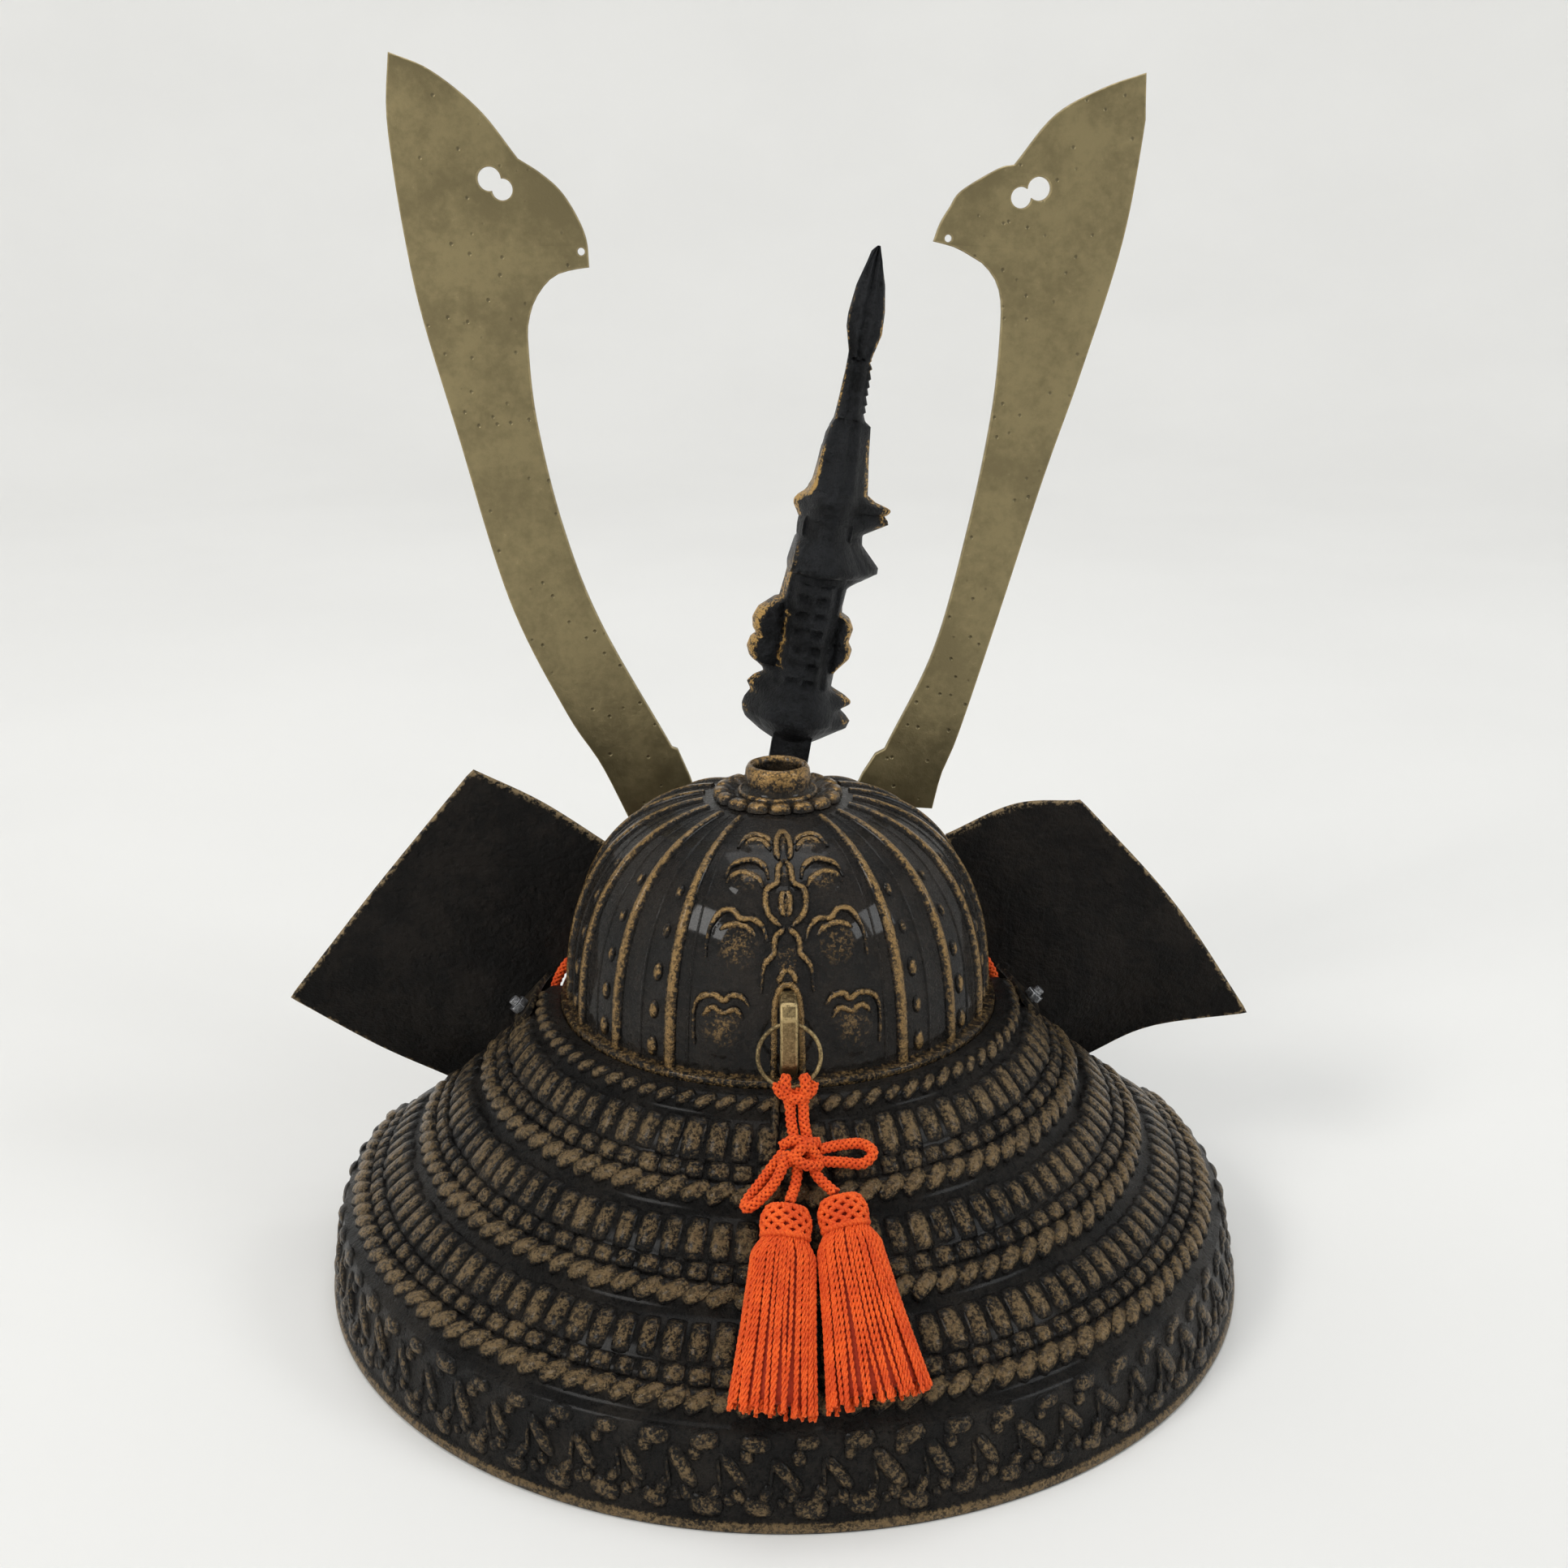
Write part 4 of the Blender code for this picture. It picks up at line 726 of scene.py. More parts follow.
leftLoop = (
    (0.0186, 0.0026, 0.0052), (0.0226, 0.0060, 0.0050), (0.0276, 0.0098, 0.0050),
    (0.0322, 0.0134, 0.0052), (0.0348, 0.0142, 0.0062), (0.0342, 0.0118, 0.0072),
    (0.0296, 0.0070, 0.0072), (0.0244, 0.0036, 0.0074), (0.0208, 0.0024, 0.0078),
)
rightLoop = (
    (0.0180, -0.0076, 0.0050), (0.0172, -0.0140, 0.0049), (0.0176, -0.0200, 0.0049),
    (0.0205, -0.0232, 0.0049), (0.0232, -0.0200, 0.0049), (0.0222, -0.0140, 0.0049),
    (0.0214, -0.0078, 0.0050),
)
hitchLegs = (
    # from the ring's low wire: across, further to each side, back, up
    (-0.0018, 0.0018, 0.0022, -0.0052), (-0.0018, 0.0024, 0.0030, -0.0018),
    (-0.0016, 0.0028, 0.0024, 0.0016), (-0.0016, 0.0029, 0.0006, 0.0032),
    (-0.0016, 0.0024, -0.0012, 0.0016),
)
hitchBar = (
    # from the ring's low wire: across, back, up
    (-0.0070, -0.0004, 0.0010), (-0.0058, 0.0022, -0.0006), (-0.0016, 0.0040, -0.0018),
    (0.0026, 0.0022, -0.0006), (0.0038, -0.0004, 0.0010),
)
bowWraps = (
    # the knot's three wraps over the two legs: down the slope, across, lift
    ((0.0168, 0.0030, 0.0052), (0.0160, -0.0004, 0.0078), (0.0178, -0.0044, 0.0080),
     (0.0212, -0.0074, 0.0052)),
    ((0.0222, 0.0026, 0.0050), (0.0206, -0.0002, 0.0082), (0.0176, -0.0040, 0.0084),
     (0.0160, -0.0072, 0.0052)),
    ((0.0196, 0.0034, 0.0050), (0.0208, 0.0004, 0.0080), (0.0232, -0.0034, 0.0078),
     (0.0226, -0.0078, 0.0052)),
)
sideCordDrop = (
    # azimuth from the back, out past the lip, up from the lip's underside
    (101.5, 0.0029, -0.0133), (101.0, 0.0049, -0.0078), (101.5, 0.0046, -0.0023),
    (103.5, 0.0024, 0.0031), (107.0, 0.0004, 0.0052),
)


def ringFrame():
    tilt = math.radians(rear["ringTilt"])
    behind = (domeRadius(0.5 * (rear["lugTop"] + rear["lugBottom"])) + rear["standOff"]
              - rear["ringWire"] - 2 * base["gap"])
    top = rear["lugTop"] - 0.33 * (rear["lugTop"] - rear["lugBottom"])
    centre = Vector((0, behind + rear["ringRadius"] * math.sin(tilt) + base["back"],
                     top - rear["ringRadius"] * math.cos(tilt)))
    return Matrix.Translation(centre) @ Matrix.Rotation(math.pi / 2 + tilt, 4, "X")


ringLow = ringFrame() @ Vector((0, -rear["ringRadius"], 0))


def braid(line, girth):
    # eight strands plaited over a core; four wind each way, each over one and under one
    length = lineLength(line)
    pitch = cord["pitch"] * girth
    count = max(12, round(length / pitch * cord["stepsPerPitch"]))
    line = smoothLine(line, count)
    out, side = sideways(line)
    reach = np.linspace(0, length, count)
    paths = [(line, cord["core"] * girth)]
    for hand in (1, -1):
        wave = hand * cord["weave"] * np.cos(8 * math.pi * reach / pitch)
        radius = (cord["layRadius"] + wave) * girth
        for k in range(4):
            turn = hand * math.tau * reach / pitch + k * math.pi / 2
            spot = line + radius[:, None] * (out * np.cos(turn)[:, None]
                                             + side * np.sin(turn)[:, None])
            paths.append((spot, cord["strand"] * girth))
    points, faces = tubes(paths, 6)
    # how far out each point lies; the cord's finish paints shade on what lies deep in the braid
    nearest = np.min(np.linalg.norm(points[:, None, :] - line[None, ::3, :], axis=2), axis=1)
    return (points, faces), nearest / (cord["radius"] * girth)


def addBraids(name, lines, girth=1.0):
    # one piece of one or more braids
    shapes, depths = zip(*[braid(line, girth) for line in lines])
    return addPiece(name, merged(shapes), "cordOrange", rub=np.concatenate(depths))


def slopeLine(rows, count):
    return np.array([tuple(onSlope(*row)) for row in smoothLine(rows, count)])


def cordLine(rows):
    # from inside the hitch, over the ring's low wire, and down the slope
    start = ringLow + Vector((rows[0][1] * 0.5, 0.0008, -0.0004))
    return smoothLine([start] + [onSlope(*row) for row in rows], 40)


cordPieces = {}


def addCords():
    # the hitch: two legs up over the ring and a bar across them
    lines = [[ringLow + Vector((across + side * apart, back, up))
              for across, apart, back, up in hitchLegs] for side in (-1, 1)]
    lines.append([ringLow + Vector(row) for row in hitchBar])
    hitch = addBraids("cordHitch", [smoothLine(line, 30) for line in lines], 0.98)
    dress(hitch, "orange_cord", "cord_hitch")
    knot = addBraids("bowKnot", [slopeLine(rows, 24) for rows in bowWraps])
    dress(knot, "orange_cord")

    loops = {}
    for name, rows in (("bow_loop_left", leftLoop), ("bow_loop_right", rightLoop)):
        loops[name] = addBraids(name.replace("bow_loop", "bowLoop"), [slopeLine(rows, 60)])
        dress(loops[name], "orange_cord", name)
    for name, rows in (("tassel_cord_left", leftCord), ("tassel_cord_right", rightCord)):
        line = cordLine(rows)
        leg = addBraids(name.replace("tassel_cord", "tasselCord"), [line])
        dress(leg, "orange_cord", name)
        cordPieces[name] = (leg, line)
    cordPieces["knot"] = knot
    cordPieces["hitch"] = hitch
    cordPieces.update(loops)

    # the side cord: round the front on the bowl's lip, hanging past both ends of the guard
    rest = bowl["lipThick"] + cord["radius"] + 2 * base["gap"]
    half = [around(lipRadius + out, azimuth, bowl["rim"] + up)
            for azimuth, out, up in sideCordDrop]
    start = sideCordDrop[-1][0]
    for k in range(1, 11):
        half.append(around(lipRadius, start + (180 - start) * k / 10, bowl["rim"] + rest))
    whole = half + [Vector((-p.x, p.y, p.z)) for p in reversed(half[:-1])]
    dress(addBraids("sideCord", [smoothLine(whole, 160)]), "orange_cord", "side_cord")


addCords()


# tassels

tassel = {
    "capLength": 0.0093, "skirtLength": 0.0480, "depth": 0.0092, "threads": 46, "under": 16,
    "thread": (0.00068, 0.00036, 0.0040),  # girth, girth of one ply, pitch of the twist
    "net": (0.00082, 0.00056, 0.0026), "netTurns": 10, "netTwist": 1.9, "netEdge": 0.0003,
    "hoop": (0.00095, 0.00060, 0.0026), "hoopLevels": (0.06, 0.94), "tuck": 0.0008,
    "coreShare": 0.78, "coreRings": 22, "coreSides": 28, "coreStart": 0.0004,
}
tasselRows = (
    # name, down the slope, across, lean in degrees, how much the skirt's end spreads
    ("tassel_left", 0.0345, 0.0024, 7.0, 1.0),
    ("tassel_right", 0.0327, -0.0125, -7.2, 1.24),
)
tasselProfile = (
    # shares: down the cap, down the skirt, half width in metres, half depth in metres
    (0.00, 0.00, 0.0030, 0.0018), (0.10, 0.00, 0.0058, 0.0034), (0.45, 0.00, 0.0073, 0.0046),
    (0.85, 0.00, 0.0070, 0.0044), (1.00, 0.00, 0.0066, 0.0042), (1.00, 0.03, 0.0078, 0.0043),
    (1.00, 0.10, 0.0090, 0.0046), (1.00, 0.55, 0.0104, 0.0043), (1.00, 1.00, 0.0122, 0.0036),
)


def tasselPlace(row, reach, turn, share):
    # a point at this reach down the tassel and this share of the way out from its middle
    name, top, across, leanDegrees, spread = row
    caps, skirts, widths, depths = zip(*tasselProfile)
    reaches = [cap * tassel["capLength"] + skirt * tassel["skirtLength"]
               for cap, skirt in zip(caps, skirts)]
    wide, deep = np.interp(reach, reaches, widths), np.interp(reach, reaches, depths)
    wide *= 1 + (spread - 1) * max(0.0, (reach - tassel["capLength"]) / tassel["skirtLength"])
    lean = math.radians(leanDegrees)
    side = share * wide * math.cos(turn)
    rise = share * deep * math.sin(turn)
    return onSlope(top + reach * math.cos(lean) - side * math.sin(lean),
                   across + reach * math.sin(lean) + side * math.cos(lean),
                   guard["ropeLift"] + base["gap"] + 0.5 * tassel["depth"] + rise)


def twisted(line, girth, ply, pitch, stepsPerTurn=7):
    # a two-ply thread: two strands wound round each other along a line
    length = lineLength(line)
    count = max(8, round(length / pitch * stepsPerTurn))
    line = smoothLine(line, count)
    out, side = sideways(line)
    turn = math.tau * np.linspace(0, length, count) / pitch + dice.uniform(0, 6)
    swing = (girth - ply) * (out * np.cos(turn)[:, None] + side * np.sin(turn)[:, None])
    return [(line + swing, ply), (line - swing, ply)]


def addTassel(row, cordName, loopName):
    cap, skirt = tassel["capLength"], tassel["skirtLength"]
    # the netted cap: twisted strands that cross both ways, over a core painted dark as the shade
    # between them
    paths = []
    turns, twist, edge = tassel["netTurns"], tassel["netTwist"], tassel["netEdge"]
    for hand in (1, -1):
        for k in range(turns):
            start = math.tau * k / turns
            line = [tasselPlace(row, edge + (cap - 2 * edge) * t, start + hand * twist * t, 0.93)
                    for t in np.linspace(0, 1, 14)]
            paths += twisted(line, *tassel["net"])
    for level in tassel["hoopLevels"]:
        hoop = [tasselPlace(row, cap * level, math.tau * k / 24, 0.95) for k in range(25)]
        paths += twisted(hoop, *tassel["hoop"])
    # threads: an outer layer, and some under it whose ends show between
    tuck = tassel["tuck"]
    for count, share in ((tassel["threads"], 0.95), (tassel["under"], 0.62)):
        for k in range(count):
            start = math.tau * (k + dice.uniform(-0.22, 0.22)) / count
            drift = dice.uniform(-0.07, 0.07)
            wave, phase = dice.uniform(0.0, 0.045), dice.uniform(0, 6)
            end = cap + skirt * (1 + dice.uniform(-0.032, 0.014))
            line = [tasselPlace(row, cap - tuck + (end - cap + tuck) * t,
                                start + drift * t + wave * math.sin(5 * t + phase),
                                share - 0.16 * (1 - min(1, 9 * t)))
                    for t in np.linspace(0, 1, 24)]
            paths += twisted(line, *tassel["thread"], 6)
    threads, faces = tubes(paths, 5)
    # the core is marked as lying deep, so the finish paints it in the shade colour: painted shade
    # between the threads
    sides = tassel["coreSides"]
    coreShape = loft([[tasselPlace(row, (cap + 0.92 * skirt) * t + tassel["coreStart"],
                                   math.tau * k / sides, tassel["coreShare"])
                       for k in range(sides)] for t in np.linspace(0, 1, tassel["coreRings"])])
    deep = np.concatenate([np.ones(len(threads)), np.zeros(len(coreShape[0]))])
    piece = addPiece(row[0].replace("_l", "L").replace("_r", "R"),
                     merged([(threads, faces), coreShape]), "threadOrange", rub=deep)
    dress(piece, "orange_cord", row[0])
    leg, line = cordPieces[cordName]
    others = [piece, cordPieces[loopName]]
    if cordName.endswith("left"):
        others += [cordPieces["hitch"], cordPieces["knot"]]


addTassel(tasselRows[0], "tassel_cord_left", "bow_loop_left")
addTassel(tasselRows[1], "tassel_cord_right", "bow_loop_right")


# bowl

scrollHalf = (
    # points (azimuth, share of the meridian) of one side of the panel's scrolls
    ((0.0, 0.100), (3.0, 0.151), (3.3, 0.206), (2.0, 0.244)),
    ((5.0, 0.176), (8.6, 0.144), (15.3, 0.132), (19.2, 0.162), (20.5, 0.202)),
    ((5.6, 0.204), (9.6, 0.166), (14.8, 0.160), (17.8, 0.188)),
    ((0.2, 0.244), (2.5, 0.284), (2.7, 0.332), (6.0, 0.356), (6.5, 0.398), (5.0, 0.444),
     (1.6, 0.480)),
    ((0.2, 0.362), (1.3, 0.386), (1.3, 0.424), (0.2, 0.448)),
    ((0.6, 0.484), (3.3, 0.517), (3.6, 0.561), (6.0, 0.598), (6.7, 0.640), (6.8, 0.690)),
    ((0.2, 0.612), (1.6, 0.630), (2.5, 0.657)),
    ((5.8, 0.320), (7.2, 0.278), (11.4, 0.250), (17.2, 0.258), (20.8, 0.288), (21.2, 0.325)),
    ((7.4, 0.352), (9.6, 0.320), (14.8, 0.300), (18.8, 0.316), (20.2, 0.344)),
    ((5.4, 0.527), (6.8, 0.482), (9.8, 0.458), (13.3, 0.459), (16.1, 0.434), (19.7, 0.440),
     (22.0, 0.483), (22.8, 0.531), (22.4, 0.590)),
    ((8.8, 0.512), (11.2, 0.486), (16.0, 0.478), (19.4, 0.500)),
    ((9.7, 0.733), (11.8, 0.704), (14.7, 0.701), (16.3, 0.720), (18.7, 0.705), (22.3, 0.713),
     (24.1, 0.746), (24.5, 0.792), (24.0, 0.878)),
    ((11.2, 0.775), (13.4, 0.744), (16.4, 0.758), (19.4, 0.744), (22.0, 0.776)),
)
bowlArch = (
    # the arch that the lug comes out of: azimuth, share of the meridian
    (-3.6, 0.985), (-3.5, 0.85), (-3.1, 0.72), (-1.7, 0.672), (0, 0.662), (1.7, 0.672),
    (3.1, 0.72), (3.5, 0.85), (3.6, 0.985),
)
leafPads = (
    # domed leaves between the scrolls: azimuth, share, half width in degrees, half height
    (12.5, 0.180, 8.0, 0.035), (13.5, 0.325, 7.5, 0.055), (14.0, 0.545, 8.5, 0.100),
    (17.0, 0.810, 7.0, 0.105), (0.0, 0.405, 3.0, 0.060), (0.0, 0.170, 2.2, 0.060),
    (0.0, 0.300, 2.0, 0.045), (0.5, 0.590, 3.6, 0.090),
)


def pillow(power, corner, fall, sink, cells=6):
    # a closed cushion-topped block in a unit square, flat underneath; corner 1 makes it round,
    # a high power makes it squarer, a low fall keeps its top flat, and sink is its underside
    points, faces = [], []
    for i in range(cells + 1):
        for j in range(cells + 1):
            x, y = math.sin(math.pi * (i / cells - 0.5)), math.sin(math.pi * (j / cells - 0.5))
            crown = (1 - abs(x) ** power) * (1 - abs(y) ** power)
            points.append((0.5 * x * math.sqrt(1 - 0.5 * corner * y * y),
                           0.5 * y * math.sqrt(1 - 0.5 * corner * x * x), max(crown, 0) ** fall))
    stride = cells + 1
    for i in range(cells):
        for j in range(cells):
            a, b = i * stride + j, (i + 1) * stride + j
            faces.append((a, b, b + 1, a + 1))
    edge = ([i * stride for i in range(stride)]
            + [cells * stride + j for j in range(1, stride)]
            + [i * stride + cells for i in range(cells - 1, -1, -1)]
            + list(range(cells - 1, 0, -1)))
    first = len(points)
    points += [(points[k][0], points[k][1], sink) for k in edge]
    count = len(edge)
    faces += [(edge[k], edge[(k + 1) % count], first + (k + 1) % count, first + k)
              for k in range(count)]
    faces.append(tuple(first + k for k in range(count))[::-1])
    return points, faces


def bowlShell():
    # outside from the lip to the top hole, then the inside back down, as one closed turning
    rim, lipTop = bowl["rim"], bowl["rim"] + bowl["lipThick"]
    profile = [(lipRadius - 0.0004, rim), (lipRadius, rim + 0.0004), (lipRadius, lipTop - 0.0006),
               (lipRadius - 0.0005, lipTop - 0.0001), (domeRadius(lipTop) + 0.0006, lipTop)]
    first = len(profile)
    shares = np.linspace(bowl["lowShare"], 0.0, bowl["levels"] + 1)
    profile += [domeSpot(share) for share in shares]
    profile.append((bowl["hole"], domeHeight(bowl["hole"])))
    scale = 1 - bowl["wall"] / bowl["radius"]
    for k in range(25):
        turn = math.radians(83 - 83 * k / 24)
        radius = max(bowl["radius"] * math.cos(turn) ** (2 / bowl["sidePower"]) * scale,
                     bowl["hole"])
        profile.append((radius, max(domeHeight(radius / scale) - bowl["wall"], rim)))
    profile.append((bowl["radius"] * scale, rim))
    rings = []
    for k in range(bowl["steps"]):
        azimuth = 360 * k / bowl["steps"]
        azimuth -= 360 * (azimuth > 180)
        ring = [around(r, azimuth, z) for r, z in profile]
        if abs(azimuth) < bowl["padReach"]:
            for n, share in enumerate(shares):
                full = sum(max(0, 1 - ((abs(azimuth) - a) / wide)**2 - ((share - s) / tall)**2)
                           for a, s, wide, tall in leafPads)
                ring[first + n] = onDome(azimuth, share, bowl["padLift"] * min(1, full) ** 0.6)
        rings.append(ring)
    return loft(rings, closed=True)


def overDome(points):
    # height of points over the smooth dome
    x, y, z = points[:, 0], points[:, 1] - base["back"], points[:, 2]
    r = np.hypot(x, y) / bowl["radius"]
    up = np.maximum(z - bowl["rim"], 0) / bowl["rise"]
    value = r ** bowl["sidePower"] + up ** bowl["crownPower"] - 1
    slope = np.hypot(bowl["sidePower"] * r ** (bowl["sidePower"] - 1) / bowl["radius"],
                     bowl["crownPower"] * up ** (bowl["crownPower"] - 1) / bowl["rise"])
    return value / slope


def addBowl():
    parts = [bowlShell()]
    paths = []
    ribs = [bowl["firstRib"] + bowl["ribPitch"] * k for k in range(bowl["ribs"])]
    shares = np.linspace(*bowl["ribSpan"])
    for side in (-1, 1):
        for azimuth in ribs:
            taper = 0.42 + 0.58 * np.interp(shares, domeShare, domeR) / bowl["radius"]
            girth = bowl["ribGirth"] * taper
            paths.append(([onDome(side * azimuth, s, bowl["ribRise"] * t - g)
                           for s, t, g in zip(shares, taper, girth)], girth))
            if azimuth != ribs[-1]:
                beside = azimuth + bowl["seamBeside"]
                paths.append(([onDome(side * beside, s, -0.0002) for s in shares],
                              bowl["seamGirth"] * taper))
        # a seam just inside the wide back panel's edge
        edge = side * (ribs[0] - bowl["seamInside"])
        paths.append(([onDome(edge, s, -0.0002) for s in shares[6:]],
                      bowl["seamGirth"] * np.linspace(0.6, 1.0, 40)))
        for row in scrollHalf:
            line = smoothLine([(side * a, s) for a, s in row], 6 * len(row))
            ends = np.minimum(1, 0.45 + 4 * np.minimum(np.linspace(0, 1, len(line)),
                                                       np.linspace(1, 0, len(line))))
            paths.append(([onDome(a, s, bowl["scrollLift"]) for a, s in line],
                          bowl["scrollGirth"] * ends))
    paths.append(([onDome(a, s, bowl["archLift"]) for a, s in smoothLine(bowlArch, 60)],
                  bowl["archGirth"]))
    parts.append(tubes(paths, 10))
    # rivets between the ribs
    seats = []
    for side in (-1, 1):
        for azimuth in ribs[:-1]:
            for share in bowl["rivetRows"]:
                spread = 1.4 * (share - 0.6)
                place, turn = seatOn(onDome, side * (azimuth + bowl["rivetBeside"] + spread),
                                     share, 0.0)
                grow = 0.45 + 0.65 * share
                seats.append((place, turn, [s * grow for s in bowl["rivetSize"]]))
    parts.append(seated(pillow(*bowl["rivetTop"]), seats, uneven=0.12, seed=4))
    shape = merged(parts)
    lift = overDome(shape[0])
    rub = np.clip((lift - bowl["rubFrom"]) / bowl["rubOver"], 0, 1.0)
    rub[shape[0][:, 2] < bowl["rim"] + bowl["lipThick"] + 0.0003] = bowl["lipRub"]
    rub[lift < -0.4 * bowl["wall"]] = 0.0  # the inside
    piece = addPiece("ribbedBowl", shape, "bowlBronze", rub=rub, angle=50)
    dress(piece, "patinated_bronze", "bowl")


addBowl()


collarPetal = (
    # share of the way in from the rim, how plump
    (0.0, 0.0), (0.03, 0.55), (0.10, 0.85), (0.25, 1.0), (0.45, 0.95), (0.65, 0.75),
    (0.82, 0.45), (0.94, 0.15),
)
collarFoot = (
    # radius, metres up from the petals' inner end, rub
    (0.0128, 0.0, 0.1), (0.0126, 0.0010, 0.75), (0.0119, 0.0014, 0.8), (0.0112, 0.0010, 0.1),
    (0.0106, 0.0016, 0.1),
)
collarCup = (
    # radius, share of the rise, rub
    (0.0103, 0.40, 0.45), (0.0104, 0.62, 0.8), (0.0101, 0.84, 0.95), (0.0094, 0.97, 0.9),
    (0.0086, 1.0, 0.9), (0.0078, 0.95, 0.7),
)


def addCollar():
    # petals round a stepped cup with an open hole
    crown, rise = domeHeight(0), collar["rise"]
    inner = collar["top"] - collar["wall"]
    rings, rubs = [], []
    steps = collar["petals"] * collar["stepsPerPetal"]
    for k in range(steps):
        azimuth = 360 * k / steps
        wave = abs(math.cos(math.radians(azimuth) * collar["petals"] / 2))
        full = min(1.0, (1 - (1 - wave) ** 2.2) * 1.02)  # 1 over a petal, 0 in the gap
        edge = collar["base"] - collar["petalDepth"] * (1 - full)
        profile = [(inner, crown + base["gap"], 0.0),
                   (edge - 0.0006, domeHeight(edge) + 0.0002, 0.0)]
        for t, plump in collarPetal:
            radius = edge + (collar["inner"] - edge) * t
            height = domeHeight(radius) + 0.0003 + (0.0006 + 0.0019 * full) * plump
            profile.append((radius, height, full * plump * (1.15 - t)))
        foot = domeHeight(0.0124) + 0.0006
        profile += [(r, foot + up, rub) for r, up, rub in collarFoot]
        profile += [(r, crown + share * rise, rub) for r, share, rub in collarCup]
        profile += [(inner, crown + 0.80 * rise, 0.3), (inner, crown + 0.40 * rise, 0.0)]
        rings.append([around(r, azimuth, z) for r, z, rub in profile])
        rubs += [rub for r, z, rub in profile]
    piece = addPiece("petalCollar", loft(rings, closed=True), "collarBronze", rub=rubs, angle=60)
    dress(piece, "patinated_bronze", "tehen_ring")


addCollar()


# neck guard

guardCrown = (
    # the rope at the top: share of its width, lift
    (0.25, 0.0006), (0.55, 0.0010), (0.85, 0.0006), (1.05, -0.0001),
)
guardTier = (
    # one tier's steps and grooves: share down it, lift as a share of the tier's lift
    (0.02, 0.0), (0.08, 0.5), (0.25, 0.6), (0.43, 0.5), (0.47, 0.1), (0.52, 0.5), (0.60, 0.45),
    (0.64, 0.1), (0.69, 0.9), (0.76, 1.1), (0.84, 0.8), (0.90, 0.0), (0.96, -0.1),
)
guardBlocks = (
    # the two rows of blocks on a tier: share down it, length as a share of it, height, lift
    (0.245, 0.45, 0.0019, 0.0002), (0.555, 0.205, 0.0017, 0.0003),
)
guardSeam = (
    # share down the slope, across, of the seam that runs down under the lug
    (0.01, 0.0046), (0.12, 0.0052), (0.26, 0.0062), (0.42, 0.0080), (0.60, 0.0095),
)


def guardSection():
    points = [(lipRadius + base["gap"], topHeight), (topRadius, topHeight)]
    points += [slopePoint(ropeShare * share, lift) for share, lift in guardCrown]
    for tier in range(guard["tiers"]):
        points += [slopePoint(firstTier + tierShare * (tier + share), lift * guard["tierLift"])
                   for share, lift in guardTier]
    points += [(bandRadius, guard["bandHeight"]),
               (bandRadius + guard["groove"], guard["bandHeight"] - 0.5 * guard["groove"])]
    points += [(bandOut(t), bandUp(t)) for t in np.linspace(0.12, 0.88, 9)]
    outer = guard["radius"]
    lip = guard["lip"]
    points += [(outer - lip, 3 * lip), (outer - 0.3 * lip, 2.5 * lip), (outer, 1.6 * lip),
               (outer, 0.6 * lip), (outer - 0.4 * lip, 0), (outer - lip - guard["wall"], 0),
               (bandRadius - guard["wall"], guard["bandHeight"] - 0.6 * guard["wall"])]
    points += [slopePoint(down, -guard["wall"]) for down in (0.75, 0.5, 0.25, 0.12)]
    ledge = bowl["radius"] - 0.2 * bowl["wall"]
    points += [(ledge, bowl["rim"] - base["gap"] - 0.75 * guard["wall"]),
               (ledge, bowl["rim"] - base["gap"]), (lipRadius + base["gap"], bowl["rim"] - base["gap"])]
    return points


def rowSeats(down, spacing, size, lean, lift):
    # blocks side by side round the guard at one level
    place = onTier(0, down, lift)
    radius = place.y - base["back"]
    half = 0.5 * (size[0] * math.cos(lean) + size[1] * abs(math.sin(lean)))
    end = endAzimuth(place.z) - 0.4 - math.degrees(half / radius)
    step = math.degrees(spacing / radius)
    count = int(end / step)
    seats = []
    for k in range(-count, count + 1):
        place, turn = seatOn(onTier, step * k, down + dice.uniform(-0.0020, 0.0020), lift,
                             lean + dice.uniform(-0.06, 0.06))
        seats.append((place, turn, [s * dice.uniform(0.92, 1.06) for s in size]))
    return seats


bandMarks = (
    # one repeat round the band: millimetres to the right, share down, width, length, height, lean
    (0.0, 0.12, 8.2, 5.2, 1.25, 0.05), (8.2, 0.46, 4.6, 13.5, 1.35, 0.62),
    (11.6, 0.26, 4.0, 4.6, 1.0, 0.20), (0.2, 0.84, 9.0, 6.0, 1.25, -0.25),
    (2.4, 0.70, 3.6, 6.4, 1.0, -0.50), (-5.2, 0.72, 3.6, 4.8, 0.95, 0.40),
    (4.0, 0.50, 1.5, 9.5, 0.75, 0.06), (6.6, 0.80, 3.2, 3.8, 0.8, 0.30),
)


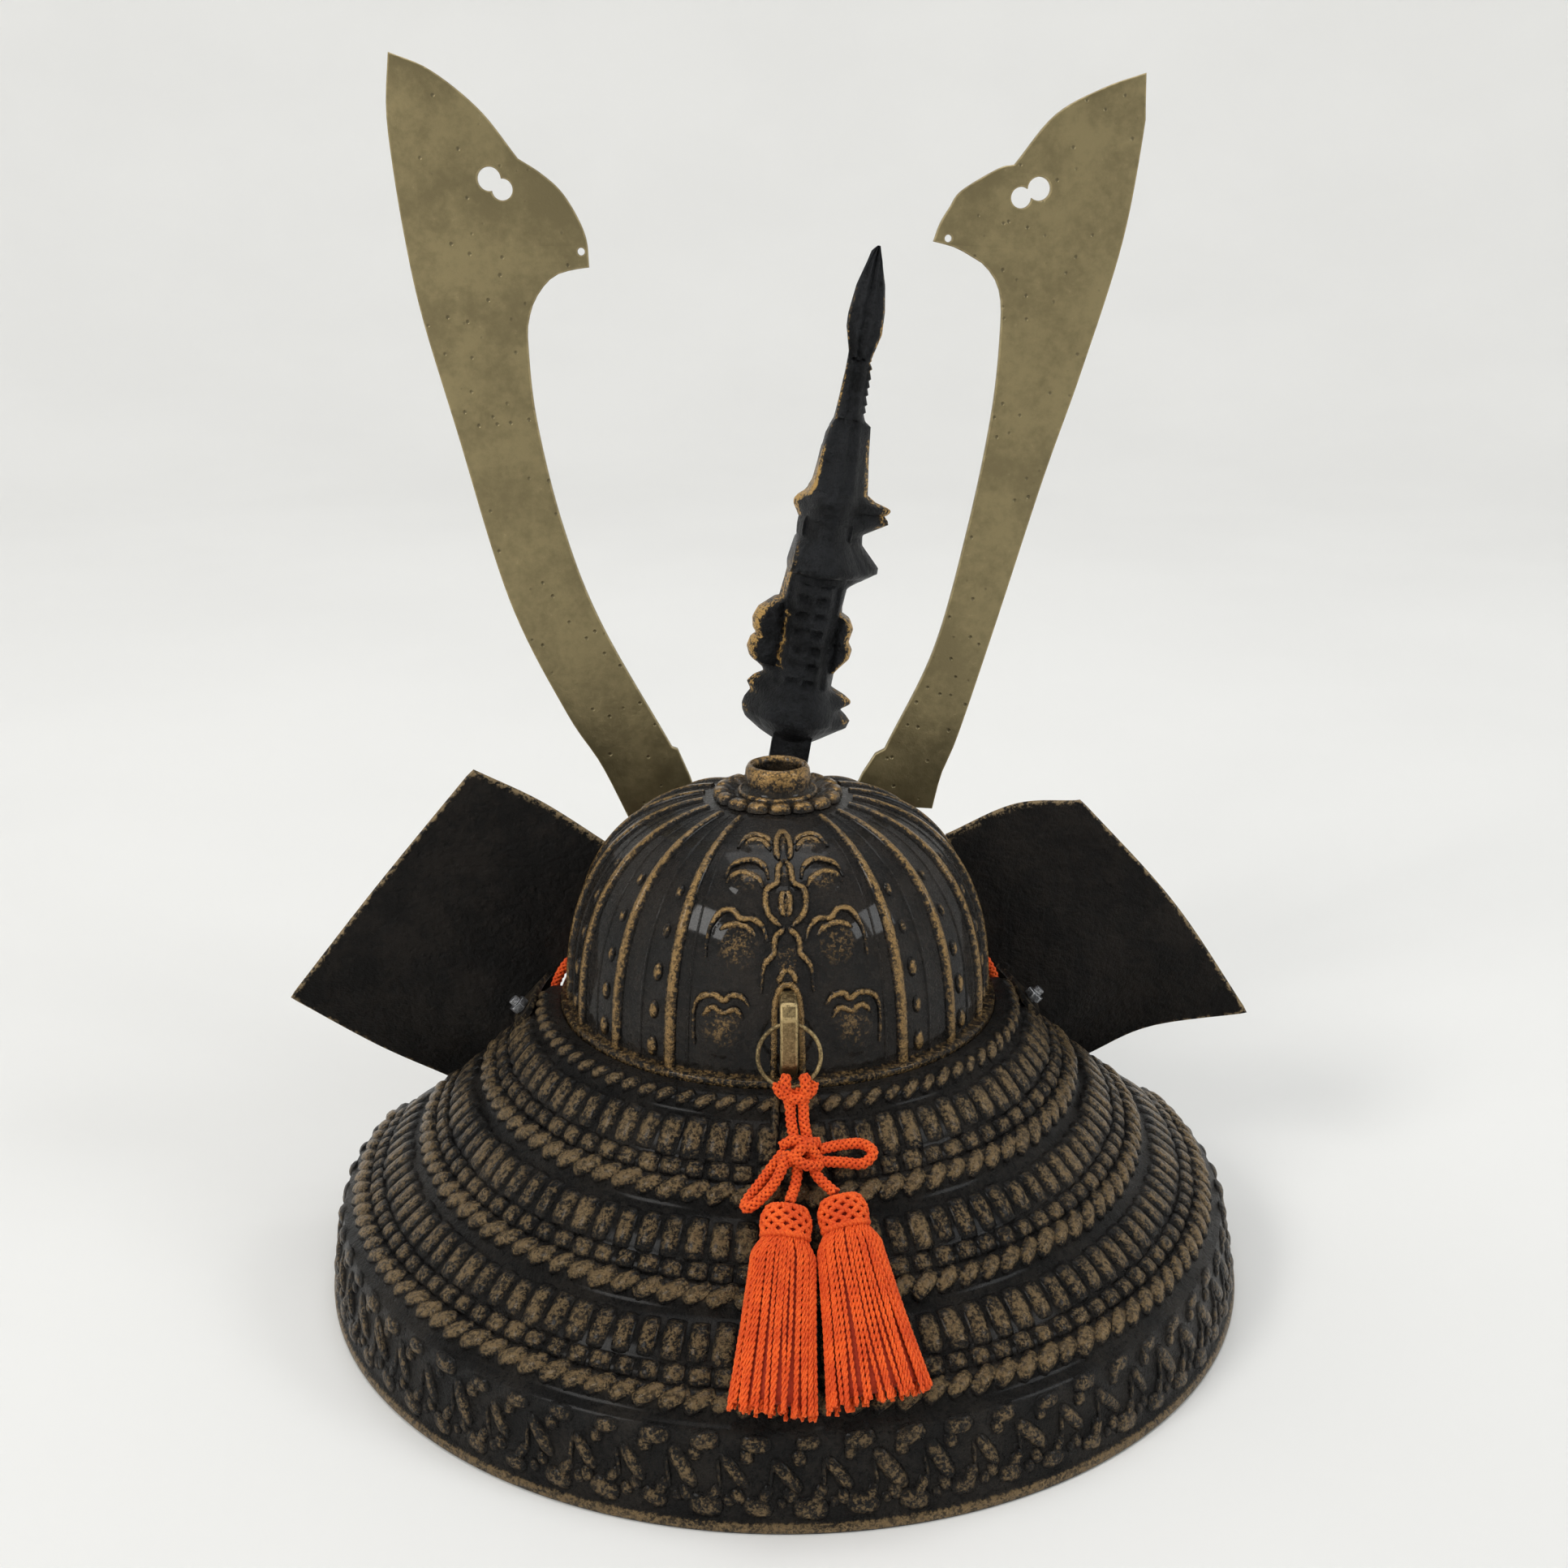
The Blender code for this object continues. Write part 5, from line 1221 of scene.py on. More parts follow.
def addGuard():
    section = guardSection()
    rings = []
    for k in range(guard["steps"] + 1):
        share = 2 * k / guard["steps"] - 1
        rings.append([onGuard(r, share * endAzimuth(z), z) for r, z in section])
    parts = [loft(rings)]
    wide, pitch, lean = guard["blockWidth"], guard["blockPitch"], guard["ropeLean"]
    tier, length = tierShare, tierShare * slopeLength
    blocks = []
    strands = rowSeats(0.55 * ropeShare, guard["topPitch"], guard["topStrand"], lean, 0.0005)
    for k in range(guard["tiers"]):
        top = firstTier + tier * k
        for down, long, height, lift in guardBlocks:
            blocks += rowSeats(top + down * tier, pitch, (wide, long * length, height), 0.0, lift)
        strands += rowSeats(top + guard["strandDown"] * tier, pitch, guard["strand"], lean, 0.0008)
    parts.append(seated(pillow(*guard["blockTop"]), blocks, uneven=0.05, seed=3))
    parts.append(seated(pillow(*guard["strandTop"]), strands, uneven=0.05, seed=6))
    seam = [onTier(math.degrees(across / guard["seamRadius"]), down, guard["seamLift"])
            for down, across in guardSeam]
    parts.append(tubes([(smoothLine(seam, 40), np.linspace(*guard["seamGirths"], 40))], 10))
    # cast marks round the band
    seats = []
    repeats, end = guard["bandRepeats"], guard["bandReach"]
    for k in range(repeats):
        middle = end - 2 * end * k / (repeats - 1)
        for across, down, width, size, height, lean in bandMarks:
            azimuth = middle - math.degrees(0.001 * across / guard["radius"])
            reach = math.degrees(0.0007 * max(width, size) / guard["radius"])
            if abs(azimuth) > endAzimuth(guard["bandHeight"] * (1 - down)) - reach:
                continue
            place, turn = seatOn(onBand, azimuth, down + dice.uniform(-0.025, 0.025), 0.0,
                                 lean + dice.uniform(-0.15, 0.15))
            seats.append((place, turn, [0.001 * width, 0.001 * size,
                                        guard["markHeight"] * height * dice.uniform(0.75, 1.1)]))
    parts.append(seated(pillow(*guard["markTop"]), seats, uneven=0.14, seed=9))
    shape = merged(parts)
    points = shape[0]
    down = np.clip((bowl["rim"] - points[:, 2]) / bowl["rim"], 0, 1)
    radius = np.hypot(points[:, 0] - guard["shift"] * down, points[:, 1] - base["back"])
    wide, fall = radius - topRadius, topHeight - points[:, 2]
    share = (wide * slopeRun + fall * slopeFall) / slopeLength**2
    out = (wide * slopeFall - fall * slopeRun) / slopeLength
    out += guard["sag"] * np.sin(np.pi * np.clip(share, 0, 1))
    rub = np.clip((out - guard["rubFrom"]) / guard["rubOver"], 0, 1.0)
    rub[out < -0.4 * guard["wall"]] = 0.0
    band = points[:, 2] < guard["bandHeight"] - 0.0004
    t = (guard["bandHeight"] - points[:, 2]) / (guard["bandHeight"] - 3 * guard["lip"])
    proud = radius - bandOut(t)
    rub[band] = np.clip(proud[band] / guard["bandRubOver"], 0, guard["bandRubMost"])
    rub[(points[:, 2] < 2.6 * guard["lip"]) & (proud > 0.0003)] = guard["rimRub"]
    piece = addPiece("lamellarGuard", shape, "guardBronze", rub=rub, angle=55)
    dress(piece, "patinated_bronze", "neck_guard")


addGuard()


# turned-back plates

plate = {"reach": 0.1610, "top": 0.1590, "wall": 0.0022, "front": 0.0300, "rootGap": 0.0035,
         "middleRoot": 0.46, "waistRoot": 0.30, "steps": 40, "rim": 0.0007,
         "edgeRub": 0.75, "earRub": 0.5, "earSteps": 16, "earRadius": 0.0058, "earThick": 0.0018,
         "earReach": 15.5, "boltAzimuth": 91.0, "boltDown": 0.0105}
plateLowRoot = {"left": 0.66, "right": 0.58}
plateEdges = (
    # corner, left across, left up, right across, right up, depth
    ("low middle", 0.734, 0.400, 0.674, 0.405, 0.85), ("outer low", 1.0, 0.535, 1.0, 0.458, 0.55),
    ("outer middle", 0.682, 0.765, 0.717, 0.700, 0.72), ("outer top", 0.339, 1.0, 0.382, 0.915, 0.95),
    ("top middle", 0.107, 0.925, 0.150, 0.905, 1.0), ("inner top", -0.124, 0.830, -0.095, 0.840, 1.0),
    ("inner middle", -0.013, 0.648, -0.013, 0.648, 1.0), ("inner low", 0.049, 0.553, 0.049, 0.553, 0.9),
)


def along(points, share):
    # the place at this share of a smooth edge through the points
    spots = len(points) - 1
    i = min(int(share * spots), spots - 1)
    t = share * spots - i
    a = points[i - 1] if i else 2 * points[0] - points[1]
    b, c = points[i], points[i + 1]
    d = points[i + 2] if i + 2 < len(points) else 2 * points[-1] - points[-2]
    return curveSpot(a, b, c, d, t)


def addPlate(sideName, side):
    spot = {}
    for row in plateEdges:
        across, up = (row[1], row[2]) if side > 0 else (row[3], row[4])
        out = bowl["radius"] + across * (plate["reach"] - bowl["radius"])
        spot[row[0]] = Vector((side * out, base["back"] - row[5] * plate["front"],
                               up * plate["top"]))
    for name, down in (("low inner", plateLowRoot[sideName]), ("middle root", plate["middleRoot"]),
                       ("waist", plate["waistRoot"])):
        radius, height = slopePoint(down, 0)
        past = math.degrees((0.5 * plate["wall"] + plate["rootGap"]) / radius)
        spot[name] = onGuard(radius, side * (endAzimuth(height) + past), height)
    bottom = [spot["low inner"], spot["low middle"], spot["outer low"]]
    top = [spot["inner top"], spot["top middle"], spot["outer top"]]
    inner = [spot[n] for n in ("low inner", "middle root", "waist", "inner low", "inner middle",
                               "inner top")]
    outer = [spot["outer low"], spot["outer middle"], spot["outer top"]]
    steps = plate["steps"]
    grid = np.empty((steps + 1, steps + 1, 3))
    for i in range(steps + 1):
        for j in range(steps + 1):
            u, v = i / steps, j / steps
            place = ((1 - v) * along(bottom, u) + v * along(top, u)
                     + (1 - u) * along(inner, v) + u * along(outer, v))
            place -= ((1 - u) * (1 - v) * bottom[0] + u * (1 - v) * bottom[-1]
                      + (1 - u) * v * top[0] + u * v * top[-1])
            grid[i, j] = place
    du, dv = np.gradient(grid, axis=0), np.gradient(grid, axis=1)
    out = np.cross(du, dv)
    out /= np.linalg.norm(out, axis=2)[:, :, None]
    # the wall with a rounded rim: the two faces and a bulging edge between them
    half = 0.5 * plate["wall"]
    edge = ([(i, 0) for i in range(steps)] + [(steps, j) for j in range(steps)]
            + [(i, steps) for i in range(steps, 0, -1)] + [(0, j) for j in range(steps, 0, -1)])
    stride = steps + 1
    points = np.concatenate([(grid + half * out).reshape(-1, 3), (grid - half * out).reshape(-1, 3)])
    count = stride * stride
    faces = []
    for i in range(steps):
        for j in range(steps):
            a, b = i * stride + j, (i + 1) * stride + j
            faces += [(a, b, b + 1, a + 1),
                      (count + a + 1, count + b + 1, count + b, count + a)]
    bulge = []
    for i, j in edge:
        away = grid[i, j] - grid[min(max(i, 1), steps - 1), min(max(j, 1), steps - 1)]
        bulge.append(grid[i, j] + plate["rim"] * away / np.linalg.norm(away))
    points = np.concatenate([points, bulge])
    total = len(edge)
    for k in range(total):
        n = (k + 1) % total
        i0, j0, i1, j1 = *edge[k], *edge[n]
        a, b = i0 * stride + j0, i1 * stride + j1
        faces += [(a, b, 2 * count + n, 2 * count + k),
                  (2 * count + k, 2 * count + n, count + b, count + a)]
    rub = np.zeros(len(points))
    rub[2 * count:] = 1.0
    for i, j in edge:
        rub[i * stride + j] = rub[count + i * stride + j] = plate["edgeRub"]
    # the ear that lies on the guard under the bolt
    foot, thick, down = guard["tierLift"] + base["gap"], plate["earThick"], plate["boltDown"]
    radius = slopePoint(down / slopeLength, foot)[0]
    start = plate["boltAzimuth"] - math.degrees(plate["earRadius"] / radius)
    section = ((-1, 0.0002), (-0.97, 0), (0.97, 0), (1, 0.0002), (1, thick - 0.0004),
               (0.94, thick), (-0.94, thick), (-1, thick - 0.0004))
    rings = []
    for k in range(plate["earSteps"] + 1):
        share = k / plate["earSteps"]
        azimuth = start + (plate["boltAzimuth"] + plate["earReach"] - start) * share
        reach = plate["earRadius"] * (0.6 + 0.4 * min(1, 3 * share))
        rings.append([onTier(side * azimuth, (down + d * reach) / slopeLength, foot + h)
                      for d, h in section])
    ear = loft(rings)
    rub = np.concatenate([rub, np.full(len(ear[0]), plate["earRub"])])
    piece = addPiece("turnback" + sideName.title(), merged([(points, faces), ear]), "plateBronze",
                     rub=rub, angle=50)
    dress(piece, "patinated_bronze", "turnback_" + sideName)


addPlate("left", 1)
addPlate("right", -1)


# horns

horn = {"plane": 0.0770, "thick": 0.0026, "spread": 0.1232, "root": 0.1310, "top": 0.3830,
        "tangWidth": 0.0150, "tangFoot": 0.0190, "tangShare": 0.40, "bevel": 0.0005,
        "footHeight": 0.0996, "edgeRub": 0.8}
hornOutline = (
    # left across, left up, right across, right up, from the outer root round the tip
    (0.407, -0.021, 0.481, -0.012), (0.485, 0.062, 0.506, 0.040), (0.578, 0.137, 0.551, 0.097),
    (0.725, 0.297, 0.647, 0.253), (0.850, 0.532, 0.769, 0.459), (0.925, 0.677, 0.861, 0.600),
    (0.960, 0.779, 0.957, 0.767), (0.982, 0.878, 1.000, 0.909), (0.987, 0.937, 1.000, 0.944),
    (0.974, 1.000, 0.998, 0.978), (0.869, 0.979, 0.888, 0.960), (0.748, 0.932, 0.762, 0.927),
    (0.653, 0.873, 0.658, 0.866), (0.597, 0.856, 0.615, 0.861), (0.545, 0.834, 0.519, 0.834),
    (0.505, 0.804, 0.488, 0.813), (0.480, 0.773, 0.463, 0.793), (0.475, 0.738, 0.446, 0.770),
    (0.528, 0.734, 0.502, 0.763), (0.575, 0.725, 0.546, 0.752), (0.616, 0.702, 0.592, 0.737),
    (0.638, 0.676, 0.629, 0.706), (0.645, 0.640, 0.635, 0.653), (0.629, 0.539, 0.618, 0.546),
    (0.567, 0.397, 0.562, 0.393), (0.469, 0.262, 0.474, 0.222), (0.278, 0.085, 0.338, 0.078),
    (0.262, 0.082, 0.311, 0.071), (0.228, 0.042, 0.274, 0.042),
)
hornCorners = (9, 12, 17, 26, 27)  # rows of the outline that stay sharp
hornHoles = (
    # left across, left up, right across, right up, radius over the tang's width
    (0.730, 0.848, 0.726, 0.836, 0.250), (0.697, 0.835, 0.679, 0.825, 0.225),
    (0.495, 0.758, 0.486, 0.774, 0.080),
)


def hornSpot(row, side):
    across, up = (row[0], row[1]) if side > 0 else (row[2], row[3])
    return (side * across * horn["spread"], horn["root"] + up * (horn["top"] - horn["root"]))


def keyhole(side):
    # the outline of the two round holes that run into each other
    (x0, z0), (x1, z1) = (hornSpot(row, side) for row in hornHoles[:2])
    r0, r1 = (row[4] * horn["tangWidth"] for row in hornHoles[:2])
    away = math.hypot(x1 - x0, z1 - z0)
    aim = math.atan2(z1 - z0, x1 - x0)
    reach = (away**2 + r0**2 - r1**2) / (2 * away)
    half0 = math.acos(max(-1, min(1, reach / r0)))
    half1 = math.acos(max(-1, min(1, (away - reach) / r1)))
    turns0 = np.linspace(aim + half0, aim + math.tau - half0, 24)
    turns1 = np.linspace(aim + math.pi + half1, aim + math.pi + math.tau - half1, 24)[1:-1]
    return ([(x0 + r0 * math.cos(t), z0 + r0 * math.sin(t)) for t in turns0]
            + [(x1 + r1 * math.cos(t), z1 + r1 * math.sin(t)) for t in turns1])


def addHorn(sideName, side):
    rows = [hornSpot(row, side) for row in hornOutline]
    # the strip below the blade runs down into the holder
    (outerX, outerZ), (innerX, innerZ) = rows[0], rows[-1]
    rootX = innerX + horn["tangShare"] * (outerX - innerX)
    rootZ = innerZ + horn["tangShare"] * (outerZ - innerZ)
    lean = math.atan2(side * rootX - horn["tangFoot"], rootZ - horn["footHeight"])
    half = 0.5 * horn["tangWidth"] / math.cos(lean)
    tang = []
    for across, up in ((-half, 0.45), (-half, 1.0), (half, 1.0), (half, 0.20)):
        height = rootZ - (rootZ - horn["footHeight"]) * up
        tang.append((side * (horn["tangFoot"] + math.tan(lean) * (height - horn["footHeight"])
                             + across), height))
    outline = list(tang)
    stops = (0, *hornCorners, len(rows) - 1)
    for first, last in zip(stops, stops[1:]):
        run = rows[first:last + 1]
        smooth = smoothLine(run, 6 * (len(run) - 1) + 1) if len(run) > 2 else run
        outline += [tuple(p) for p in smooth[:-1]]
    outline.append(rows[-1])
    x, z = hornSpot(hornHoles[2], side)
    radius = hornHoles[2][4] * horn["tangWidth"]
    dot = [(x + radius * math.cos(math.tau * k / 16), z + radius * math.sin(math.tau * k / 16))
           for k in range(16)]
    data = bpy.data.curves.new("blade", "CURVE")
    data.dimensions = "2D"
    data.fill_mode = "BOTH"
    data.extrude = 0.5 * horn["thick"] - horn["bevel"]
    data.bevel_depth = horn["bevel"]
    data.bevel_resolution = 2
    data.offset = -horn["bevel"]
    for ring in (outline[2:] + outline[:2], keyhole(side), dot):
        line = data.splines.new("POLY")
        line.points.add(len(ring) - 1)
        line.use_cyclic_u = True
        for point, place in zip(line.points, ring):
            point.co = (place[0], place[1], 0, 1)
    holder = addObject("blade", data)
    mesh = evaluated(holder)
    bpy.data.objects.remove(holder)
    bpy.data.curves.remove(data)
    shape = bmesh.new()
    shape.from_mesh(mesh)
    bpy.data.meshes.remove(mesh)
    bmesh.ops.remove_doubles(shape, verts=shape.verts, dist=1e-6)
    bmesh.ops.transform(shape, verts=shape.verts,
                        matrix=Matrix.Translation((0, base["back"] - horn["plane"], 0))
                        @ Matrix.Rotation(math.pi / 2, 4, "X"))
    shape.normal_update()
    rub = [0.0 if abs(face.normal.y) > 0.98 else horn["edgeRub"] for face in shape.faces]
    plain = plainShape(shape)
    shape.free()
    piece = addPiece("horn" + sideName.title(), plain, "hornBrass", faceRub=rub, angle=28)
    dress(piece, "aged_brass", "horn_" + sideName)


addHorn("left", 1)
addHorn("right", -1)


# dragon crest

dragon = {"top": 0.3240, "foot": 0.1500, "lean": 9.6, "footOffset": 0.0076, "tangWidth": 0.0140,
          "tangDepth": 0.0030, "headUp": 0.450}
dragonSize = dragon["top"] - dragon["foot"]
dragonLeft = (
    # up, reach to the left: the silhouette from the tip down
    (1.000, 0.001), (0.989, 0.012), (0.967, 0.017), (0.923, 0.029), (0.869, 0.035), (0.845, 0.034),
    (0.800, 0.021), (0.765, 0.021), (0.702, 0.024), (0.670, 0.025), (0.640, 0.037), (0.572, 0.040),
    (0.540, 0.043), (0.521, 0.051), (0.510, 0.067), (0.499, 0.074), (0.489, 0.073), (0.470, 0.061),
    (0.457, 0.054), (0.390, 0.059), (0.337, 0.066), (0.302, 0.070), (0.286, 0.091), (0.271, 0.109),
    (0.250, 0.117), (0.230, 0.113), (0.219, 0.104), (0.208, 0.115), (0.190, 0.119), (0.172, 0.111),
    (0.150, 0.079), (0.143, 0.077), (0.134, 0.094), (0.118, 0.107), (0.103, 0.097), (0.086, 0.107),
    (0.073, 0.110), (0.060, 0.107), (0.047, 0.099), (0.029, 0.066), (0.022, 0.048),
)
dragonRight = (
    (1.000, 0.003), (0.978, 0.010), (0.929, 0.026), (0.881, 0.035), (0.839, 0.037), (0.791, 0.025),
    (0.775, 0.031), (0.696, 0.034), (0.672, 0.036), (0.664, 0.049), (0.609, 0.057), (0.528, 0.071),
    (0.516, 0.090), (0.507, 0.122), (0.500, 0.124), (0.490, 0.114), (0.482, 0.122), (0.475, 0.124),
    (0.461, 0.100), (0.447, 0.076), (0.427, 0.079), (0.401, 0.105), (0.385, 0.121), (0.373, 0.121),
    (0.354, 0.092), (0.338, 0.065), (0.284, 0.061), (0.275, 0.082), (0.257, 0.092), (0.229, 0.087),
    (0.214, 0.097), (0.195, 0.094), (0.167, 0.069), (0.131, 0.068), (0.119, 0.098), (0.108, 0.114),
    (0.100, 0.113), (0.089, 0.093), (0.079, 0.107), (0.068, 0.118), (0.052, 0.112), (0.027, 0.060),
    (0.022, 0.046),
)
dragonCore = (
    # up, half width of the round middle, depth, how far the back bulges out in millimetres
    (1.000, 0.002, 0.010, 0.0), (0.970, 0.015, 0.020, 0.0), (0.879, 0.036, 0.034, 0.3),
    (0.840, 0.036, 0.034, 0.3), (0.790, 0.024, 0.030, 0.0), (0.700, 0.028, 0.046, 0.0),
    (0.655, 0.036, 0.070, 0.2), (0.600, 0.046, 0.100, 0.4), (0.540, 0.052, 0.120, 0.5),
    (0.512, 0.060, 0.140, 3.4), (0.480, 0.054, 0.150, 1.6), (0.440, 0.052, 0.145, 1.8),
    (0.400, 0.080, 0.158, 4.4), (0.376, 0.096, 0.165, 6.0), (0.366, 0.094, 0.165, 5.2),
    (0.360, 0.070, 0.160, 0.4), (0.240, 0.060, 0.155, 0.2), (0.160, 0.062, 0.150, 0.4),
    (0.128, 0.070, 0.148, 2.2), (0.085, 0.092, 0.138, 4.6), (0.062, 0.090, 0.128, 5.2),
    (0.045, 0.076, 0.115, 3.6), (0.022, 0.046, 0.070, 0.0),
)
dragonGold = (
    # up, gold on the left edge, gold on the right edge
    (1.00, 0.0, 0.0), (0.93, 0.30, 0.45), (0.88, 0.55, 0.50), (0.83, 0.65, 0.85), (0.79, 0.5, 0.80),
    (0.76, 0.85, 0.60), (0.70, 0.80, 0.25), (0.66, 0.45, 0.10), (0.63, 0.30, 0.85), (0.60, 0.85, 0.85),
    (0.55, 1.0, 0.80), (0.50, 1.05, 0.95), (0.47, 0.75, 0.70), (0.44, 0.35, 0.10), (0.40, 0.55, 0.20),
    (0.33, 0.80, 0.30), (0.29, 0.75, 0.60), (0.27, 1.05, 1.05), (0.18, 1.05, 1.05), (0.15, 0.4, 0.3),
    (0.13, 0.85, 0.55), (0.11, 0.95, 0.95), (0.09, 0.35, 0.30), (0.07, 0.75, 0.75), (0.04, 0.2, 0.2),
)
crest = {
    "slices": 260, "around": 72, "backs": 52, "flute": 0.0016, "leafFlute": 0.0011,
    "dent": 0.0019, "dentPitch": 0.034, "hatch": 0.00045, "groove": 0.0011, "slit": 0.0012,
    "stem": (0.672, 0.785), "leafFrom": 0.79, "bodyFrom": 0.53, "fan": (0.345, 0.47),
    "dents": (0.135, 0.345), "dentColumns": (0.021, -0.013), "coils": (0.165, 0.295),
    "coilGold": (0.165, 0.285), "slits": ((0.10, 0.118, 0.091), (0.468, 0.492, 0.488)),
}
dragonHead = (
    # forward, width, height, drop
    (0.030, 0.100, 0.125, 0.000), (0.060, 0.118, 0.135, 0.000), (0.090, 0.115, 0.120, 0.004),
    (0.115, 0.104, 0.098, 0.010), (0.135, 0.092, 0.078, 0.014), (0.150, 0.090, 0.070, 0.016),
    (0.165, 0.080, 0.058, 0.020), (0.180, 0.058, 0.044, 0.023), (0.186, 0.030, 0.024, 0.024),
)
dragonFace = (
    # a horn, a whisker and an eye on each side: (across, up, forward) and the girths in metres
    (((0.018, 0.500, 0.100), (0.022, 0.520, 0.098), (0.024, 0.540, 0.100), (0.026, 0.556, 0.106)),
     (0.0022, 0.0019, 0.0014, 0.0005)),
    (((0.026, 0.425, 0.170), (0.040, 0.410, 0.180), (0.046, 0.395, 0.200), (0.044, 0.375, 0.212)),
     (0.0010, 0.0008, 0.0006, 0.0003)),
    (((0.028, 0.480, 0.118), (0.030, 0.480, 0.126), (0.030, 0.480, 0.132)),
     (0.0020, 0.0024, 0.0012)),
)


def onDragon(across, up, out):
    # out is metres behind the crest's back face, towards +Y
    lean = math.radians(dragon["lean"])
    foot = dragon["foot"] + up * dragonSize
    middle = -dragon["footOffset"] - math.tan(lean) * (foot - dragon["foot"])
    return Vector((middle + across * dragonSize * math.cos(lean),
                   base["back"] - horn["plane"] + 0.5 * dragon["tangDepth"] + out,
                   foot + across * dragonSize * math.sin(lean)))


def atHeight(rows, up):
    # the values of a table of rows, from the top down, at this height
    heights, *columns = zip(*rows)
    return [np.interp(-up, [-height for height in heights], column) for column in columns]


def bell(value, width):
    return math.exp(-(value / width) ** 2)


def within(up, span):
    return span[0] < up < span[1]


def dragonSlice(up):
    # one ring across the leaning axis and how far each of its points is rubbed to gold: a round
    # middle that thins out to the silhouette on both sides
    (left,), (right,) = atHeight(dragonLeft, up), atHeight(dragonRight, up)
    core, depth, bulge = atHeight(dragonCore, up)
    goldLeft, goldRight = atHeight(dragonGold, up)
    coils, stem = within(up, crest["coils"]), within(up, crest["stem"])
    if stem:
        right *= 1 - 0.16 * ((up - crest["stem"][0]) / 0.0163 % 1)
    ring, rubs = [], []
    backs = crest["backs"]
    for k in range(crest["around"]):
        onBack = k <= backs
        turn = (math.pi * k / backs if onBack
                else math.pi * (1 + (k - backs) / (crest["around"] - backs)))
        side = math.cos(turn)
        reach = left if side > 0 else right
        edge = abs(side)
        spread = math.sin(0.5 * math.pi * edge) if onBack else edge
        across = reach * spread * (1 if side > 0 else -1)
        inner = min(0.86 * core, reach)
        if spread * reach <= inner:
            swell = math.sqrt(max(0, 1 - (spread * reach / core)**2))
        else:
            start = math.sqrt(1 - 0.86**2)
            outer = (spread * reach - inner) / max(reach - inner, 1e-6)
            swell = start * ((1 - outer**4) ** 0.5 if coils else (1 - outer) ** 0.75)
        half = 0.5 * depth * dragonSize
        out = -half * (1 - swell) + 0.001 * bulge * swell if onBack else -half * (1 + swell)
        if onBack:
            inward = across / core
            fade = max(0.0, 1 - inward**2)
            if up > crest["leafFrom"]:
                out -= crest["leafFlute"] * fade * (0.5 + 0.5 * math.cos(9.5 * inward))
            elif stem:
                out -= crest["leafFlute"] * fade * (0.5 + 0.5 * math.cos(6.5 * inward))
            elif up > crest["bodyFrom"]:
                out -= crest["flute"] * fade * (0.5 - 0.5 * math.cos(7.5 * inward))
            elif within(up, crest["fan"]):
                spoke = 0.5 + 0.5 * math.cos(62 * math.atan2(across, 0.50 - up))
                out -= crest["hatch"] * spoke * min(1, 12 * (crest["fan"][1] - up))
                out -= crest["flute"] * 0.8 * fade * (0.5 - 0.5 * math.cos(5 * inward))
            elif crest["dents"][0] < up <= crest["dents"][1]:
                column = sum(math.exp(-((across - middle) / 0.010) ** 4)
                             for middle in crest["dentColumns"])
                wave = math.sin(math.tau * (up - crest["dents"][0]) / crest["dentPitch"])
                out -= crest["dent"] * min(1, column) * max(0.0, wave) ** 0.5
                out -= crest["flute"] * bell(abs(across - 0.003) - 0.045, 0.006)
            if coils:
                out -= crest["groove"] * bell(spread * reach - inner - 0.004, 0.004)
            for low, high, middle in crest["slits"]:
                if low < up < high and side < 0 and spread * reach > inner:
                    out -= crest["slit"] * max(0, 1 - abs(up - middle) / 0.008)
        gold = goldLeft if side > 0 else goldRight
        rim = min(1.0, max(0.0, (spread - 0.78) / 0.12))
        rub = gold * rim * (1.0 if onBack else 0.6)
        if (within(up, crest["coilGold"]) and onBack and side > 0
                and abs(across - inner + 0.003) < 0.005):
            rub = 0.95
        rubs.append(rub)
        ring.append(onDragon(across, up, out))
    return ring, rubs


def addDragon():
    rings, rubs = [], []
    for up in np.linspace(0.999, 0.0225, crest["slices"]):
        ring, rub = dragonSlice(up)
        rings.append(ring)
        rubs += rub
    made = [(loft(rings), rubs)]
    # the head looks forward
    headUp = dragon["headUp"]
    rings, rubs = [], []
    for forward, wide, tall, drop in smoothLine(dragonHead, 30):
        ring = []
        for k in range(28):
            turn = math.tau * k / 28
            brow = 1 + 0.16 * max(0, math.sin(turn)) * math.cos(3 * turn) ** 2
            ring.append(onDragon(0.5 * wide * brow * math.cos(turn),
                                 headUp - drop + 0.5 * tall * brow * math.sin(turn),
                                 -forward * dragonSize))
            rubs.append(0.55 * max(0, math.sin(turn)) ** 4)
        rings.append(ring)
    made.append((loft(rings), rubs))
    face = tubes([([onDragon(side * a, u, -f * dragonSize) for a, u, f in spots],
                   np.array(girths)) for side in (-1, 1) for spots, girths in dragonFace], 10)
    made.append((face, np.full(len(face[0]), 0.45)))
    # the tang down into the holder
    half = 0.5 * dragon["tangWidth"] / dragonSize
    depth = dragon["tangDepth"]
    tang = loft([[onDragon(x, up, y) for x, y in ((-half, 0), (half, 0), (half, -depth),
                                                  (-half, -depth))] for up in (-0.290, 0.05)])
    made.append((tang, np.zeros(8)))
    rub = np.concatenate([np.asarray(part[1], float) for part in made])
    piece = addPiece("dragonCrest", merged([part[0] for part in made]), "crestBlack", rub=rub,
                     angle=48)
    dress(piece, "blackened_bronze", "dragon_crest")


addDragon()


# lug, ring, bolts, holder and peak

